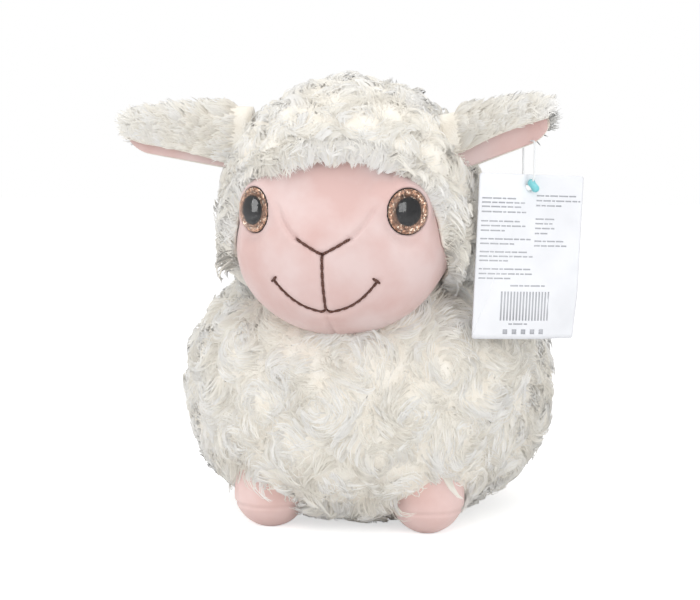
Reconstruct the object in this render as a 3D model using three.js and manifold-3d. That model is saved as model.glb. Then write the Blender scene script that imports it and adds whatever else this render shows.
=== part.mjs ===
// A stuffed sheep with a fleece coat, a velour face and feet, safety eyes, folded ears and a hang tag.
// Millimetres. The sheep looks along -Y, its left side is +X, +Z is up, and the origin is on the
// surface that it stands on, under the body's middle.
import * as THREE from 'three';
import { mergeVertices } from 'three/addons/utils/BufferGeometryUtils.js';
import Module from 'manifold-3d';

const wasm = await Module();
wasm.setup();

// Cloth and clearances
const fleece = 11; // coat, from its backing to the outside of the pile
const velour = 2.2; // velour with the padding that clings to it
const lining = 1.5; // velour that lines an ear
const seamGap = 0.3; // between pieces that are sewn or pressed together
const swingGap = 0.6; // round a piece that swings
const socketGap = 0.3; // round a ball that turns in its socket
const restFlat = 0.5; // depth that a form is pressed flat where it stands

// Body, measured outside the fleece
const bodyHalfWidth = 104.5;
const bodyHalfDepth = 112;
const bodyAbove = 75; // from the widest level up to the crown
const bodyBelow = 74; // from the widest level down to the floor
const bodyFullness = 2.25; // above the widest level; 2 is an ellipsoid, more is fuller
const bellyFullness = 2.7; // below the widest level
const bellySeam = 14; // height of the seam round the belly panel
const swirlDip = 4; // depth of the hollows between the fleece's swirls
const bodySwirlsAround = 16; // swirls on a level ring, with a hollow between neighbours
const bodySwirlRows = 14;
const bellyFadeStart = -0.35; // sine of the slope under the body's middle where swirls fade
const bellyFadeEnd = -0.75;
const neckRadius = 38;

// Head, measured outside the velour
const headRadius = 61;
const headForward = 56; // in front of the body's middle
const headLift = 25; // above the body's crown
const muzzleHalfWidth = 54;
const muzzleHalfDepth = 49;
const muzzleHalfHeight = 45;
const muzzleForward = 30;
const muzzleDrop = 19;
const lobeBlend = 14; // sharpness of the fold between the cranium and the muzzle
const hoodSwirlsAround = 12; // on a ring round the line through the nose
const hoodSwirlRows = 12;

// Face panel, seen from the front, with its heights about the head's middle
const faceHalfWidth = 54;
const faceTop = 27;
const faceWidest = -21;
const faceBottom = -80; // under the chin, where the face meets the coat
const faceFullness = 2.5;
const browHalfWidth = 30; // forehead panel at the hood
const noseHalfWidth = 14; // forehead panel at the nose
const noseCorner = -10;
const noseTip = -18;

// Safety eyes
const eyeRadius = 12;
const eyeAside = 35; // degrees from straight ahead to the eye's middle, about the head's middle
const eyeTurn = 40; // degrees from straight ahead that the eye faces
const eyeRise = 2.5; // above the head's middle
const eyeSink = 1.5; // how far the eye is drawn into the velour
const eyeDome = 5.2;
const eyeRim = 0.8; // straight edge under the dome
const eyeBack = 1.4;
const irisThick = 0.5;
const irisMargin = 0.6; // bare rim outside the iris
const pupilRadius = 7;
const stemRadius = 2.5;
const stemLength = 15;
const stemRings = 2;
const stemRing = 0.35; // how far a ring stands out of the stem
const washerRadius = 9;
const washerThick = 1.6;

// Ears, which are folded unalike
const earLengthLeft = 44; // hinge line to tip
const earLengthRight = 58;
const earRootHalfLeft = 17; // half the height at the root
const earRootHalfRight = 19;
const earTipHalf = 10;
const earHalfThick = 9.5;
const earEdgeThick = 3; // fleece where it is drawn in at an edge
const earEdgeTaper = 8;
const earSlit = 0.4; // between the two folded faces of the lining
const earSocketGap = 0.9; // round the root in its socket
const earTipRound = 12; // length over which the tip is rounded
const earLiningInset = 1.2; // lining inside the fleece edge
const earTipEnd = 0.92; // share of the rounding that is left when the tip is closed flat
const earRise = 32.5; // degrees from the head's middle up to the root
const earStand = 3.5; // hinge line outside the fleece
const earAhead = 13; // in front of the head's middle
const earUp = 40; // degrees that an ear lifts

// Each ear's tilt and droop in degrees, and the share of the lining that the front flap covers
const earFolds = {
  left: {
    side: 1,
    length: earLengthLeft,
    rootHalf: earRootHalfLeft,
    tilt: 12,
    down: 2,
    rootCover: 0.63,
    tipCover: 0.125,
  },
  right: {
    side: -1,
    length: earLengthRight,
    rootHalf: earRootHalfRight,
    tilt: 1,
    down: 22,
    rootCover: 0.9,
    tipCover: 0.56,
  },
};

// Hang tag
const tagWidth = 60;
const tagHeight = 87;
const tagThick = 0.7;
const tagCorner = 1.5;
const tagHoleRadius = 2;
const tagHoleDrop = 6.4; // hole's middle below the top edge
const tagHoleAside = 28; // hole's middle from the edge nearer the head
const tagYaw = 30; // degrees that the card is turned outwards
const loopWire = 0.5; // wire radius of the nylon loop
const loopDrop = 23; // from the wire's middle at the top to its middle at the bottom
const loopHalfWidth = 7;
const loopCorner = 2;
const loopPlay = 0.5; // wire to the hole's edge that hangs on it
const pierceRadius = 1.4;
const pierceStation = 32; // along the ear from its hinge line
const pierceMargin = 3.4; // above the ear's lower edge
const lockRadius = 2.1;
const collarRadius = 2.1;
const collarAhead = 3.6;
const lockAside = 1.9;
const lockAhead = 0.7;
const lockDrop = 2.8;

// Feet
const footRadius = 20;
const footHinge = 21; // height of the hinge line
const footFullness = 2.2;
const footInset = 61; // foot's middle inside the body's widest side
const footSetBack = 48; // foot's middle inside the body's front or back
const footMouth = 12; // radius of the open root
const soleSeam = 13;

// Tail
const tailRadius = 15;
const tailLength = 27; // hinge line to the tip
const tailFleece = 8;
const tailRise = 9; // degrees above the body's widest level
const tailSink = 5.5; // hinge line inside the coat
const tailTilt = 55; // degrees that the tail stands out from hanging straight down
const tailSwing = 16; // degrees each way

// Fineness
const bodyAround = 16; // inside of the coat
const bodyRings = 8;
const headAround = 20;
const headRings = 10;
const limbAround = 12;
const limbRings = 7;
const hiddenAround = 10; // inside of a foot
const hiddenRings = 6;
const roomAround = 12;
const roomRings = 7;
const eyeAround = 14;
const lockAround = 10;
const lockRings = 6;
const holeAround = 12;
const outlineSteps = 30;
const domeSteps = 4;
const foldSteps = 3;
const wireSides = 5;
const wireSteps = 24;
const far = 400; // further than any piece reaches

const finishes = {
  coat: { color: 0xf4eee2, roughness: 0.95, metalness: 0 },
  face: { color: 0xf2c9bf, roughness: 0.85, metalness: 0 },
  filling: { color: 0xffffff, roughness: 1, metalness: 0 },
  lens: { color: 0xf8f8f8, roughness: 0.05, metalness: 0, transparent: true, opacity: 0.3 },
  glitter: { color: 0xb07a55, roughness: 0.35, metalness: 0.7 },
  black: { color: 0x0a0a0c, roughness: 0.3, metalness: 0 },
  nylon: { color: 0xe8eef0, roughness: 0.4, metalness: 0 },
  lock: { color: 0x78c8cc, roughness: 0.35, metalness: 0 },
  card: { color: 0xf2f2f6, roughness: 0.6, metalness: 0 },
};

const bodyMiddle = new THREE.Vector3(0, 0, bodyBelow);
const headMiddle = new THREE.Vector3(0, -headForward, bodyBelow + bodyAbove + headLift);

const radians = THREE.MathUtils.degToRad;
const lerp = THREE.MathUtils.lerp;

// Closed geometry as a solid, with its shared vertices merged and its collapsed triangles left out
function solid(geometry) {
  const bare = geometry.clone();
  bare.deleteAttribute('normal');
  bare.deleteAttribute('uv');
  const merged = mergeVertices(bare);
  const corners = merged.index.array;
  const kept = [];
  for (let i = 0; i < corners.length; i += 3) {
    const [a, b, c] = [corners[i], corners[i + 1], corners[i + 2]];
    if (a !== b && b !== c && c !== a) {
      kept.push(a, b, c);
    }
  }
  return new wasm.Manifold(new wasm.Mesh({
    numProp: 3,
    vertProperties: merged.attributes.position.array,
    triVerts: new Uint32Array(kept),
  }));
}

function mesh(name, part, finish) {
  const result = part.getMesh();
  const geometry = new THREE.BufferGeometry();
  geometry.setAttribute('position', new THREE.BufferAttribute(result.vertProperties, 3));
  geometry.setIndex(new THREE.BufferAttribute(result.triVerts, 1));
  geometry.computeVertexNormals();
  const piece = new THREE.Mesh(geometry, new THREE.MeshStandardMaterial(finishes[finish]));
  piece.name = name;
  return piece;
}

function placed(geometry, matrix) {
  return solid(geometry.clone().applyMatrix4(matrix));
}

function union(parts) {
  return parts.reduce((whole, part) => whole.add(part));
}

function cut(part, cutters) {
  return cutters.reduce((rest, cutter) => rest.subtract(cutter), part);
}

function block(low, high) {
  const geometry = new THREE.BoxGeometry(high[0] - low[0], high[1] - low[1], high[2] - low[2]);
  return geometry.translate((low[0] + high[0]) / 2, (low[1] + high[1]) / 2, (low[2] + high[2]) / 2);
}

function above(height) {
  return solid(block([-far, -far, height], [far, far, far]));
}

// One side of the middle seam
function beside(side) {
  const [near, away] = [side * seamGap / 2, side * far];
  return solid(block([Math.min(near, away), -far, -far], [Math.max(near, away), far, far]));
}

// A profile of [radius, height] points turned about +Z
function turned(profile, around) {
  const points = profile.map(([radius, height]) => new THREE.Vector2(radius, height));
  return new THREE.LatheGeometry(points, around).rotateX(Math.PI / 2);
}

function rod(radius, low, high, around) {
  return turned([[0, low], [radius, low], [radius, high], [0, high]], around);
}

// Closed skin over a row of outlines of [y, z] points, each standing at its own x
function loft(stations) {
  const count = stations[0].outline.length;
  const positions = stations.flatMap(({ x, outline }) => outline.flatMap(([y, z]) => [x, y, z]));
  const faces = [];
  for (let i = 0; i + 1 < stations.length; i += 1) {
    for (let j = 0; j < count; j += 1) {
      const next = (j + 1) % count;
      const [a, b] = [i * count + j, i * count + next];
      const [c, d] = [b + count, a + count];
      faces.push(a, b, c, a, c, d);
    }
  }
  const last = (stations.length - 1) * count;
  const ends = [[stations[0], 0, true], [stations[stations.length - 1], last, false]];
  for (const [{ outline }, first, turnedOver] of ends) {
    const flat = outline.map(([y, z]) => new THREE.Vector2(y, z));
    for (const [a, b, c] of THREE.ShapeUtils.triangulateShape(flat, [])) {
      faces.push(first + a, first + (turnedOver ? c : b), first + (turnedOver ? b : c));
    }
  }
  const geometry = new THREE.BufferGeometry();
  geometry.setAttribute('position', new THREE.Float32BufferAttribute(positions, 3));
  geometry.setIndex(faces);
  return geometry;
}

// The same shape on the other side of the middle, with its faces still pointing out
function mirrored(geometry) {
  const twin = geometry.clone().scale(-1, 1, 1);
  const corners = twin.index.array;
  for (let i = 0; i < corners.length; i += 3) {
    [corners[i], corners[i + 1]] = [corners[i + 1], corners[i]];
  }
  return twin;
}

// A round wire along a closed path of [y, z] points, in the plane x = 0
function wireRing(path) {
  const positions = [];
  const faces = [];
  for (let i = 0; i < wireSteps; i += 1) {
    const middle = path.getPointAt(i / wireSteps);
    const along = path.getTangentAt(i / wireSteps);
    for (let j = 0; j < wireSides; j += 1) {
      const angle = (j / wireSides) * 2 * Math.PI;
      const outward = loopWire * Math.cos(angle);
      const [y, z] = [middle.x + along.y * outward, middle.y - along.x * outward];
      positions.push(loopWire * Math.sin(angle), y, z);
      const [next, ahead] = [(j + 1) % wireSides, ((i + 1) % wireSteps) * wireSides];
      const [a, b] = [i * wireSides + j, i * wireSides + next];
      faces.push(b, a, ahead + j, b, ahead + j, ahead + next);
    }
  }
  const geometry = new THREE.BufferGeometry();
  geometry.setAttribute('position', new THREE.Float32BufferAttribute(positions, 3));
  geometry.setIndex(faces);
  return geometry;
}

// Unit directions of a sphere, carried out to the skin that `reach` gives as a distance
function swollen(sphere, reach) {
  const place = sphere.attributes.position;
  const direction = new THREE.Vector3();
  for (let i = 0; i < place.count; i += 1) {
    direction.fromBufferAttribute(place, i).normalize();
    direction.multiplyScalar(reach(direction));
    place.setXYZ(i, direction.x, direction.y, direction.z);
  }
  return sphere;
}

// How far the fleece lies under its swirls' tops: swirls and hollows take turns along a ring and
// from row to row, and none are left at the ends of the rings' axis
function hollow(turn, rise, around, rows) {
  const share = Math.cos(around * turn) * Math.cos(rows * rise) * Math.cos(rise);
  return (swirlDip * (1 - share)) / 2;
}

// Distance to the skin of an egg that is fuller than an ellipsoid, with its own size up and down
function eggReach(egg, direction) {
  const level = Math.hypot(direction.x / egg.halfWidth, direction.y / egg.halfDepth);
  const upright = Math.abs(direction.z) / (direction.z > 0 ? egg.up : egg.down);
  const fullness = direction.z > 0 ? egg.fullUp : egg.fullDown;
  return (level ** fullness + upright ** fullness) ** (-1 / fullness);
}

function eggForm(egg, around, rings) {
  const sphere = new THREE.SphereGeometry(1, around, rings).rotateX(Math.PI / 2);
  return swollen(sphere, (direction) => eggReach(egg, direction));
}

function bodyEgg(grow) {
  return {
    halfWidth: bodyHalfWidth + grow,
    halfDepth: bodyHalfDepth + grow,
    up: bodyAbove + grow,
    down: bodyBelow + restFlat + grow,
    fullUp: bodyFullness,
    fullDown: bellyFullness,
  };
}

function bodyForm(grow) {
  const egg = eggForm(bodyEgg(grow), bodyAround, bodyRings);
  return solid(egg.translate(bodyMiddle.x, bodyMiddle.y, bodyMiddle.z));
}

// The body with the fleece's swirls and hollows, which fade out towards the belly that it sits on
function coatForm(grow) {
  const egg = bodyEgg(grow);
  const around = 2 * bodySwirlsAround;
  const sphere = new THREE.SphereGeometry(1, around, bodySwirlRows).rotateX(Math.PI / 2);
  const form = swollen(sphere, (direction) => {
    const turn = Math.atan2(direction.y, direction.x);
    const share = THREE.MathUtils.smoothstep(direction.z, bellyFadeEnd, bellyFadeStart);
    const dip = hollow(turn, Math.asin(direction.z), bodySwirlsAround, bodySwirlRows);
    return eggReach(egg, direction) - share * dip;
  });
  return solid(form.translate(bodyMiddle.x, bodyMiddle.y, bodyMiddle.z));
}

// Distance from the head's middle to the skin of one lobe, which holds that middle
function lobeReach(lobe, direction) {
  const start = lobe.middle.clone().negate().divide(lobe.half);
  const step = direction.clone().divide(lobe.half);
  const a = step.lengthSq();
  const b = start.dot(step);
  const c = start.lengthSq() - 1;
  return (-b + Math.sqrt(b * b - a * c)) / a;
}

// Cranium and muzzle, blended where they meet
function headReach(direction, grow) {
  const lobes = [
    {
      middle: new THREE.Vector3(),
      half: new THREE.Vector3(headRadius + grow, headRadius + grow, headRadius + grow),
    },
    {
      middle: new THREE.Vector3(0, -muzzleForward, -muzzleDrop),
      half: new THREE.Vector3(muzzleHalfWidth + grow, muzzleHalfDepth + grow, muzzleHalfHeight + grow),
    },
  ];
  const sum = lobes.reduce((total, lobe) => total + lobeReach(lobe, direction) ** lobeBlend, 0);
  return sum ** (1 / lobeBlend);
}

// The head's rings run round the line through the nose
function headForm(grow) {
  const sphere = new THREE.SphereGeometry(1, headAround, headRings);
  const head = swollen(sphere, (direction) => headReach(direction, grow));
  return solid(head.translate(headMiddle.x, headMiddle.y, headMiddle.z));
}

// The hood's outside, with the fleece's swirls and hollows
function hoodForm() {
  const sphere = new THREE.SphereGeometry(1, 2 * hoodSwirlsAround, hoodSwirlRows);
  const hood = swollen(sphere, (direction) => {
    const turn = Math.atan2(direction.z, direction.x);
    const dip = hollow(turn, Math.asin(direction.y), hoodSwirlsAround, hoodSwirlRows);
    return headReach(direction, fleece) - dip;
  });
  return solid(hood.translate(headMiddle.x, headMiddle.y, headMiddle.z));
}

// A front-view outline carried straight through the front of the head
function throughFace(shape) {
  const depth = headRadius + muzzleForward + muzzleHalfDepth + fleece;
  const geometry = new THREE.ExtrudeGeometry(shape, { depth, bevelEnabled: false, curveSegments: 6 });
  geometry.rotateX(Math.PI / 2);
  return solid(geometry.translate(headMiddle.x, headMiddle.y, headMiddle.z));
}

// Outline of the face panel, squarer than an ellipse
function faceOutline(grow) {
  const power = 2 / faceFullness;
  const points = [];
  for (let i = 0; i < outlineSteps; i += 1) {
    const angle = (i / outlineSteps) * 2 * Math.PI;
    const [across, along] = [Math.cos(angle), Math.sin(angle)];
    const tall = (along > 0 ? faceTop - faceWidest : faceWidest - faceBottom) + grow;
    points.push(new THREE.Vector2(
      Math.sign(across) * Math.abs(across) ** power * (faceHalfWidth + grow),
      Math.sign(along) * Math.abs(along) ** power * tall + faceWidest,
    ));
  }
  return new THREE.Shape(points);
}

// Outline of the forehead panel: wide at the hood, drawn in between the eyes, pointed at the nose
function foreheadOutline(grow) {
  const top = faceTop + fleece;
  const bend = lerp(noseCorner, faceTop, 1 / 3);
  const [wide, narrow] = [browHalfWidth + grow, noseHalfWidth + grow];
  const shape = new THREE.Shape();
  shape.moveTo(0, noseTip - grow);
  shape.lineTo(narrow, noseCorner - grow);
  shape.quadraticCurveTo(wide, bend, wide, top);
  shape.lineTo(-wide, top);
  shape.quadraticCurveTo(-wide, bend, -narrow, noseCorner - grow);
  shape.closePath();
  return shape;
}

// An eye's frame: its seat in the velour, with +Z outwards
function eyeMatrix(side) {
  const outward = new THREE.Vector3(side * Math.sin(radians(eyeTurn)), -Math.cos(radians(eyeTurn)), 0);
  const turn = new THREE.Quaternion().setFromUnitVectors(new THREE.Vector3(0, 0, 1), outward);
  const across = side * Math.sin(radians(eyeAside));
  const raised = new THREE.Vector3(across, -Math.cos(radians(eyeAside)), eyeRise / headRadius).normalize();
  const place = raised.multiplyScalar(headReach(raised, 0) - eyeSink).add(headMiddle);
  return new THREE.Matrix4().compose(place, turn, new THREE.Vector3(1, 1, 1));
}

// Depth of a flat washer's front below the seat, where the curved velour leaves room for it
function washerDepth() {
  const curve = headRadius - Math.sqrt(headRadius ** 2 - washerRadius ** 2);
  return velour - eyeSink + curve + seamGap;
}

// Room for the eye pressed into the velour, and for its stem
function eyeSeat(side) {
  const dish = rod(eyeRadius + seamGap, -seamGap, eyeDome * 2, eyeAround);
  const hole = rod(stemRadius + stemRing + seamGap, -stemLength - seamGap, 1, eyeAround);
  return union([dish, hole].map((room) => placed(room, eyeMatrix(side))));
}

// Room for the washer, which presses up into the velour
function washerPocket(side) {
  const [low, high] = [-washerDepth() - washerThick - seamGap, seamGap - washerDepth()];
  const pocket = rod(washerRadius + seamGap, low, high, eyeAround);
  return placed(pocket, eyeMatrix(side));
}

function eyeLens() {
  const low = eyeBack + irisThick + 2 * seamGap;
  const profile = [[0, low], [eyeRadius, low]];
  for (let i = 0; i < domeSteps; i += 1) {
    const angle = (i / domeSteps) * (Math.PI / 2);
    profile.push([eyeRadius * Math.cos(angle), low + eyeRim + eyeDome * Math.sin(angle)]);
  }
  profile.push([0, low + eyeRim + eyeDome]);
  return solid(turned(profile, eyeAround));
}

function eyeIris() {
  const [inner, outer] = [pupilRadius + seamGap, eyeRadius - irisMargin];
  const [low, high] = [eyeBack + seamGap, eyeBack + seamGap + irisThick];
  const profile = [[inner, low], [outer, low], [outer, high], [inner, high], [inner, low]];
  return solid(turned(profile, eyeAround));
}

function eyePupil() {
  const low = eyeBack + seamGap;
  return solid(rod(pupilRadius, low, low + irisThick, eyeAround));
}

// Backing disc on a ringed stem, over which the washer is pushed
function eyeStem() {
  const ringed = stemLength - washerDepth() - washerThick;
  const pitch = ringed / stemRings;
  const profile = [[0, -stemLength]];
  for (let i = 0; i < stemRings; i += 1) {
    const start = i * pitch - stemLength;
    profile.push([stemRadius, start]);
    profile.push([stemRadius + stemRing, start + pitch / 2]);
  }
  profile.push([stemRadius, ringed - stemLength], [stemRadius, 0]);
  profile.push([eyeRadius, 0], [eyeRadius, eyeBack], [0, eyeBack]);
  return solid(turned(profile, eyeAround));
}

function eyeWasher() {
  const inner = stemRadius + stemRing + seamGap;
  const high = -washerDepth();
  const low = high - washerThick;
  const middle = (inner + washerRadius) / 2;
  const profile = [
    [inner, low], [middle, low], [washerRadius, high - washerThick / 2], [washerRadius, high], [inner, high],
    [inner, low],
  ];
  return solid(turned(profile, eyeAround));
}

function eye(name, side) {
  const group = new THREE.Group();
  eyeMatrix(side).decompose(group.position, group.quaternion, group.scale);
  group.add(
    mesh(`${name}_lens`, eyeLens(), 'lens'),
    mesh(`${name}_iris`, eyeIris(), 'glitter'),
    mesh(`${name}_pupil`, eyePupil(), 'black'),
    mesh(`${name}_stem`, eyeStem(), 'black'),
    mesh(`${name}_washer`, eyeWasher(), 'nylon'),
  );
  return group;
}

// An ear's frame: +X along the left ear from its hinge line, which runs along Y
function earMatrix(fold, lift) {
  const rise = radians(earRise);
  const reach = headRadius + fleece + earStand;
  const place = new THREE.Vector3(fold.side * reach * Math.cos(rise), -earAhead, reach * Math.sin(rise));
  const turn = new THREE.Matrix4().makeRotationY(-fold.side * radians(fold.tilt + lift));
  return turn.setPosition(place.add(headMiddle));
}

// Half height and half thickness of the ear at a station, with the tip rounded
function earSize(fold, station) {
  const along = THREE.MathUtils.clamp(station / fold.length, 0, 1);
  const tip = Math.max(0, (station - fold.length + earTipRound) / earTipRound);
  const round = Math.sqrt(1 - (earTipEnd * tip) ** 2);
  return { half: lerp(fold.rootHalf, earTipHalf, along) * round, thick: earHalfThick * round };
}

// Stations from the root to the tip; the lining stops at the last but one
function earStations(fold) {
  const straight = [0, 1 / 3, 2 / 3, 1].map((share) => share * (fold.length - earTipRound));
  const rounded = [0.5, 0.85, 1].map((share) => fold.length - earTipRound * (1 - share));
  return [-fold.rootHalf - swingGap, ...straight, ...rounded];
}

// One layer of the folded ear: over the fold, from the long back flap to the short front flap
function earLayer(fold, outer, inner, inset, places) {
  const stations = places.map((x) => {
    const { half, thick } = earSize(fold, x);
    const crown = half - thick;
    const cover = lerp(fold.rootCover, fold.tipCover, THREE.MathUtils.clamp(x / fold.length, 0, 1));
    const backEnd = inset - half;
    const frontEnd = crown - Math.max(cover * (crown + half) - inset, earSlit);
    const outside = outer(thick);
    const taper = (end) => Math.min(end + earEdgeTaper, (end + crown) / 2);
    const edge = Math.min(inner + earEdgeThick, lerp(inner, outside, 0.6));
    const outline = [[edge, backEnd], [outside, taper(backEnd)]];
    for (let i = 0; i <= foldSteps; i += 1) {
      const angle = (i / foldSteps) * Math.PI;
      outline.push([outside * Math.cos(angle), crown + outside * Math.sin(angle)]);
    }
    outline.push([-outside, taper(frontEnd)], [-edge, frontEnd], [-inner, frontEnd]);
    for (let i = foldSteps; i >= 0; i -= 1) {
      const angle = (i / foldSteps) * Math.PI;
      outline.push([inner * Math.cos(angle), crown + inner * Math.sin(angle)]);
    }
    outline.push([inner, backEnd]);
    return { x, outline };
  });
  const root = block([0, -far, -far], [far, far, far]);
  const hinge = rod(fold.rootHalf, -far, far, limbAround * 2).rotateX(Math.PI / 2);
  const within = [root, hinge].map((geometry) => solid(fold.side > 0 ? geometry : mirrored(geometry)));
  const layer = loft(stations);
  return solid(fold.side > 0 ? layer : mirrored(layer)).intersect(union(within));
}

function earCoat(fold) {
  return earLayer(fold, (thick) => thick, lining + earSlit / 2 + seamGap, 0, earStations(fold));
}

function earLining(fold) {
  const places = earStations(fold).slice(0, -1);
  return earLayer(fold, () => lining + earSlit / 2, earSlit / 2, earLiningInset, places);
}

function earSocket(fold) {
  const thick = earHalfThick + swingGap;
  const hinge = rod(fold.rootHalf + earSocketGap, -thick, thick, limbAround * 2).rotateX(Math.PI / 2);
  return placed(hinge, earMatrix(fold, 0));
}

// The socket with room for the ear at rest and at both ends of its swing
function earRoom(fold) {
  const thick = earHalfThick + swingGap;
  const [root, tip] = [fold.rootHalf + swingGap, earTipHalf + swingGap];
  const square = (half) => [[thick, -half], [thick, half], [-thick, half], [-thick, -half]];
  const blade = loft([{ x: 0, outline: square(root) }, { x: fold.length, outline: square(tip) }]);
  const blades = [-fold.down, 0, earUp].map((lift) => (
    placed(fold.side > 0 ? blade : mirrored(blade), earMatrix(fold, lift))));
  return union(blades).add(earSocket(fold));
}

// The hang tag's frame: the hole in the ear, with -Y out of the card's face
function tagMatrix() {
  const { half } = earSize(earFolds.left, pierceStation);
  const depth = (lining + earSlit / 2 + seamGap + earEdgeThick) / 2;
  const hole = new THREE.Vector3(pierceStation, depth, pierceMargin - half);
  hole.applyMatrix4(earMatrix(earFolds.left, 0));
  return new THREE.Matrix4().makeRotationZ(radians(tagYaw)).setPosition(hole);
}

// The hole that the loop goes through, in the left ear's own frame
function piercing() {
  const matrix = earMatrix(earFolds.left, 0).invert().multiply(tagMatrix());
  const reach = 2 * earHalfThick;
  return placed(rod(pierceRadius, -reach, reach, holeAround).rotateX(Math.PI / 2), matrix);
}

function ear(name, fold) {
  const group = new THREE.Group();
  earMatrix(fold, 0).decompose(group.position, group.quaternion, group.scale);
  const holes = fold === earFolds.left ? [piercing()] : [];
  group.add(
    mesh(`${name}_coat`, cut(earCoat(fold), holes), 'coat'),
    mesh(`${name}_lining`, cut(earLining(fold), holes), 'face'),
  );
  return group;
}

const loopTop = seamGap + loopWire - pierceRadius; // wire's middle in the hole, from the hole's middle
const loopBottom = loopTop - loopDrop;

// Straight where it goes through the ear, round where the card hangs on it
function loopPath() {
  const path = new THREE.Path();
  const [corner, turn] = [loopHalfWidth - loopCorner, loopBottom + loopHalfWidth];
  path.moveTo(-corner, loopTop);
  path.lineTo(corner, loopTop);
  path.absarc(corner, loopTop - loopCorner, loopCorner, Math.PI / 2, 0, true);
  path.lineTo(loopHalfWidth, turn);
  path.absarc(0, turn, loopHalfWidth, 0, -Math.PI, true);
  path.lineTo(-loopHalfWidth, loopTop - loopCorner);
  path.absarc(-corner, loopTop - loopCorner, loopCorner, Math.PI, Math.PI / 2, true);
  return path;
}

// A snap lock: a ball that hangs beside a collar on the loop
function tagLock() {
  const collarHeight = loopBottom + loopHalfWidth - Math.sqrt(loopHalfWidth ** 2 - collarAhead ** 2);
  const slope = Math.atan2(collarAhead, Math.sqrt(loopHalfWidth ** 2 - collarAhead ** 2));
  const collar = new THREE.SphereGeometry(collarRadius, lockAround, lockRings);
  collar.translate(0, -collarAhead, collarHeight);
  const ball = new THREE.SphereGeometry(lockRadius, lockAround, lockRings);
  ball.translate(lockAside, -collarAhead - lockAhead, collarHeight - lockDrop);
  const bore = rod(loopWire + 2 * seamGap, -lockRadius * 2, lockRadius * 2, 8);
  bore.rotateX(Math.PI / 2 - slope).translate(0, -collarAhead, collarHeight);
  return solid(collar).add(solid(ball)).subtract(solid(bore));
}

// The card hangs with the loop's wire at the top of its hole
function tagCard() {
  const hole = loopBottom + loopWire + loopPlay - tagHoleRadius;
  const [low, high] = [hole + tagHoleDrop - tagHeight, hole + tagHoleDrop];
  const [left, right] = [-tagHoleAside, tagWidth - tagHoleAside];
  const shape = new THREE.Shape();
  shape.moveTo(left + tagCorner, low);
  shape.lineTo(right - tagCorner, low);
  shape.absarc(right - tagCorner, low + tagCorner, tagCorner, -Math.PI / 2, 0);
  shape.absarc(right - tagCorner, high - tagCorner, tagCorner, 0, Math.PI / 2);
  shape.absarc(left + tagCorner, high - tagCorner, tagCorner, Math.PI / 2, Math.PI);
  shape.absarc(left + tagCorner, low + tagCorner, tagCorner, Math.PI, Math.PI * 1.5);
  shape.holes.push(new THREE.Path().absarc(0, hole, tagHoleRadius, 0, 2 * Math.PI, true));
  const card = { depth: tagThick, bevelEnabled: false, curveSegments: 4 };
  const geometry = new THREE.ExtrudeGeometry(shape, card);
  return solid(geometry.translate(0, 0, -tagThick / 2).rotateX(Math.PI / 2));
}

function hangTag() {
  const group = new THREE.Group();
  tagMatrix().decompose(group.position, group.quaternion, group.scale);
  group.add(
    mesh('tag_loop', solid(wireRing(loopPath())), 'nylon'),
    mesh('tag_lock', tagLock(), 'lock'),
    mesh('tag_card', tagCard(), 'card'),
  );
  return group;
}

// A foot about its hinge line: a ball where it is held, fuller below
function footForm(grow, around, rings) {
  const egg = {
    halfWidth: footRadius + grow,
    halfDepth: footRadius + grow,
    up: footRadius + grow,
    down: footHinge + restFlat + grow,
    fullUp: 2,
    fullDown: footFullness,
  };
  return solid(eggForm(egg, around, rings));
}

function footPlace([side, end]) {
  const [aside, ahead] = [bodyHalfWidth - footInset, bodyHalfDepth - footSetBack];
  return new THREE.Vector3(side * aside, bodyMiddle.y + end * ahead, footHinge);
}

// A ball whose flat faces all lie outside the given radius
function roomBall(radius) {
  const share = Math.cos(Math.PI / roomAround) * Math.cos(Math.PI / (2 * roomRings));
  return new THREE.SphereGeometry(radius / share, roomAround, roomRings);
}

function footSocket(corner) {
  const { x, y, z } = footPlace(corner);
  return solid(roomBall(footRadius + socketGap).translate(x, y, z));
}

// Room in the coat for the foot's fuller lower part as it swings
function footRoom(corner) {
  const { x, y, z } = footPlace(corner);
  const corners = 2 ** (1 / 2 - 1 / footFullness); // how much further the form reaches at a slant
  return solid(roomBall((footHinge + restFlat) * corners + swingGap).translate(x, y, z));
}

function foot(name, corner) {
  const { x, y, z } = footPlace(corner);
  const inside = (grow) => footForm(grow, hiddenAround, hiddenRings);
  const outside = footForm(0, limbAround, limbRings);
  const skin = outside.subtract(inside(-velour)).intersect(above(-footHinge));
  const mouth = solid(rod(footMouth, 0, footRadius * 2, limbAround));
  const seam = soleSeam - footHinge;
  const upper = skin.intersect(above(seam + seamGap / 2)).subtract(mouth);
  const sole = skin.subtract(above(seam - seamGap / 2));
  const group = new THREE.Group();
  group.position.set(x, y, z);
  group.add(
    mesh(`${name}_upper`, upper, 'face'),
    mesh(`${name}_sole`, sole, 'face'),
    mesh(`${name}_filling`, inside(-velour - seamGap), 'filling'),
  );
  return group;
}

// The tail about its hinge line, hanging along -Z before it is tilted
function tailForm(grow, up = tailRadius) {
  const egg = {
    halfWidth: tailRadius + grow,
    halfDepth: tailRadius + grow,
    up: up + grow,
    down: tailLength + grow,
    fullUp: 2,
    fullDown: 2,
  };
  return eggForm(egg, limbAround, limbRings);
}

function tailMatrix() {
  const outward = new THREE.Vector3(0, Math.cos(radians(tailRise)), Math.sin(radians(tailRise)));
  const reach = eggReach(bodyEgg(0), outward) - tailSink;
  const place = outward.multiplyScalar(reach).add(bodyMiddle);
  return new THREE.Matrix4().makeRotationX(radians(tailTilt)).setPosition(place);
}

function tailSocket() {
  return placed(roomBall(tailRadius + socketGap), tailMatrix());
}

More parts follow.
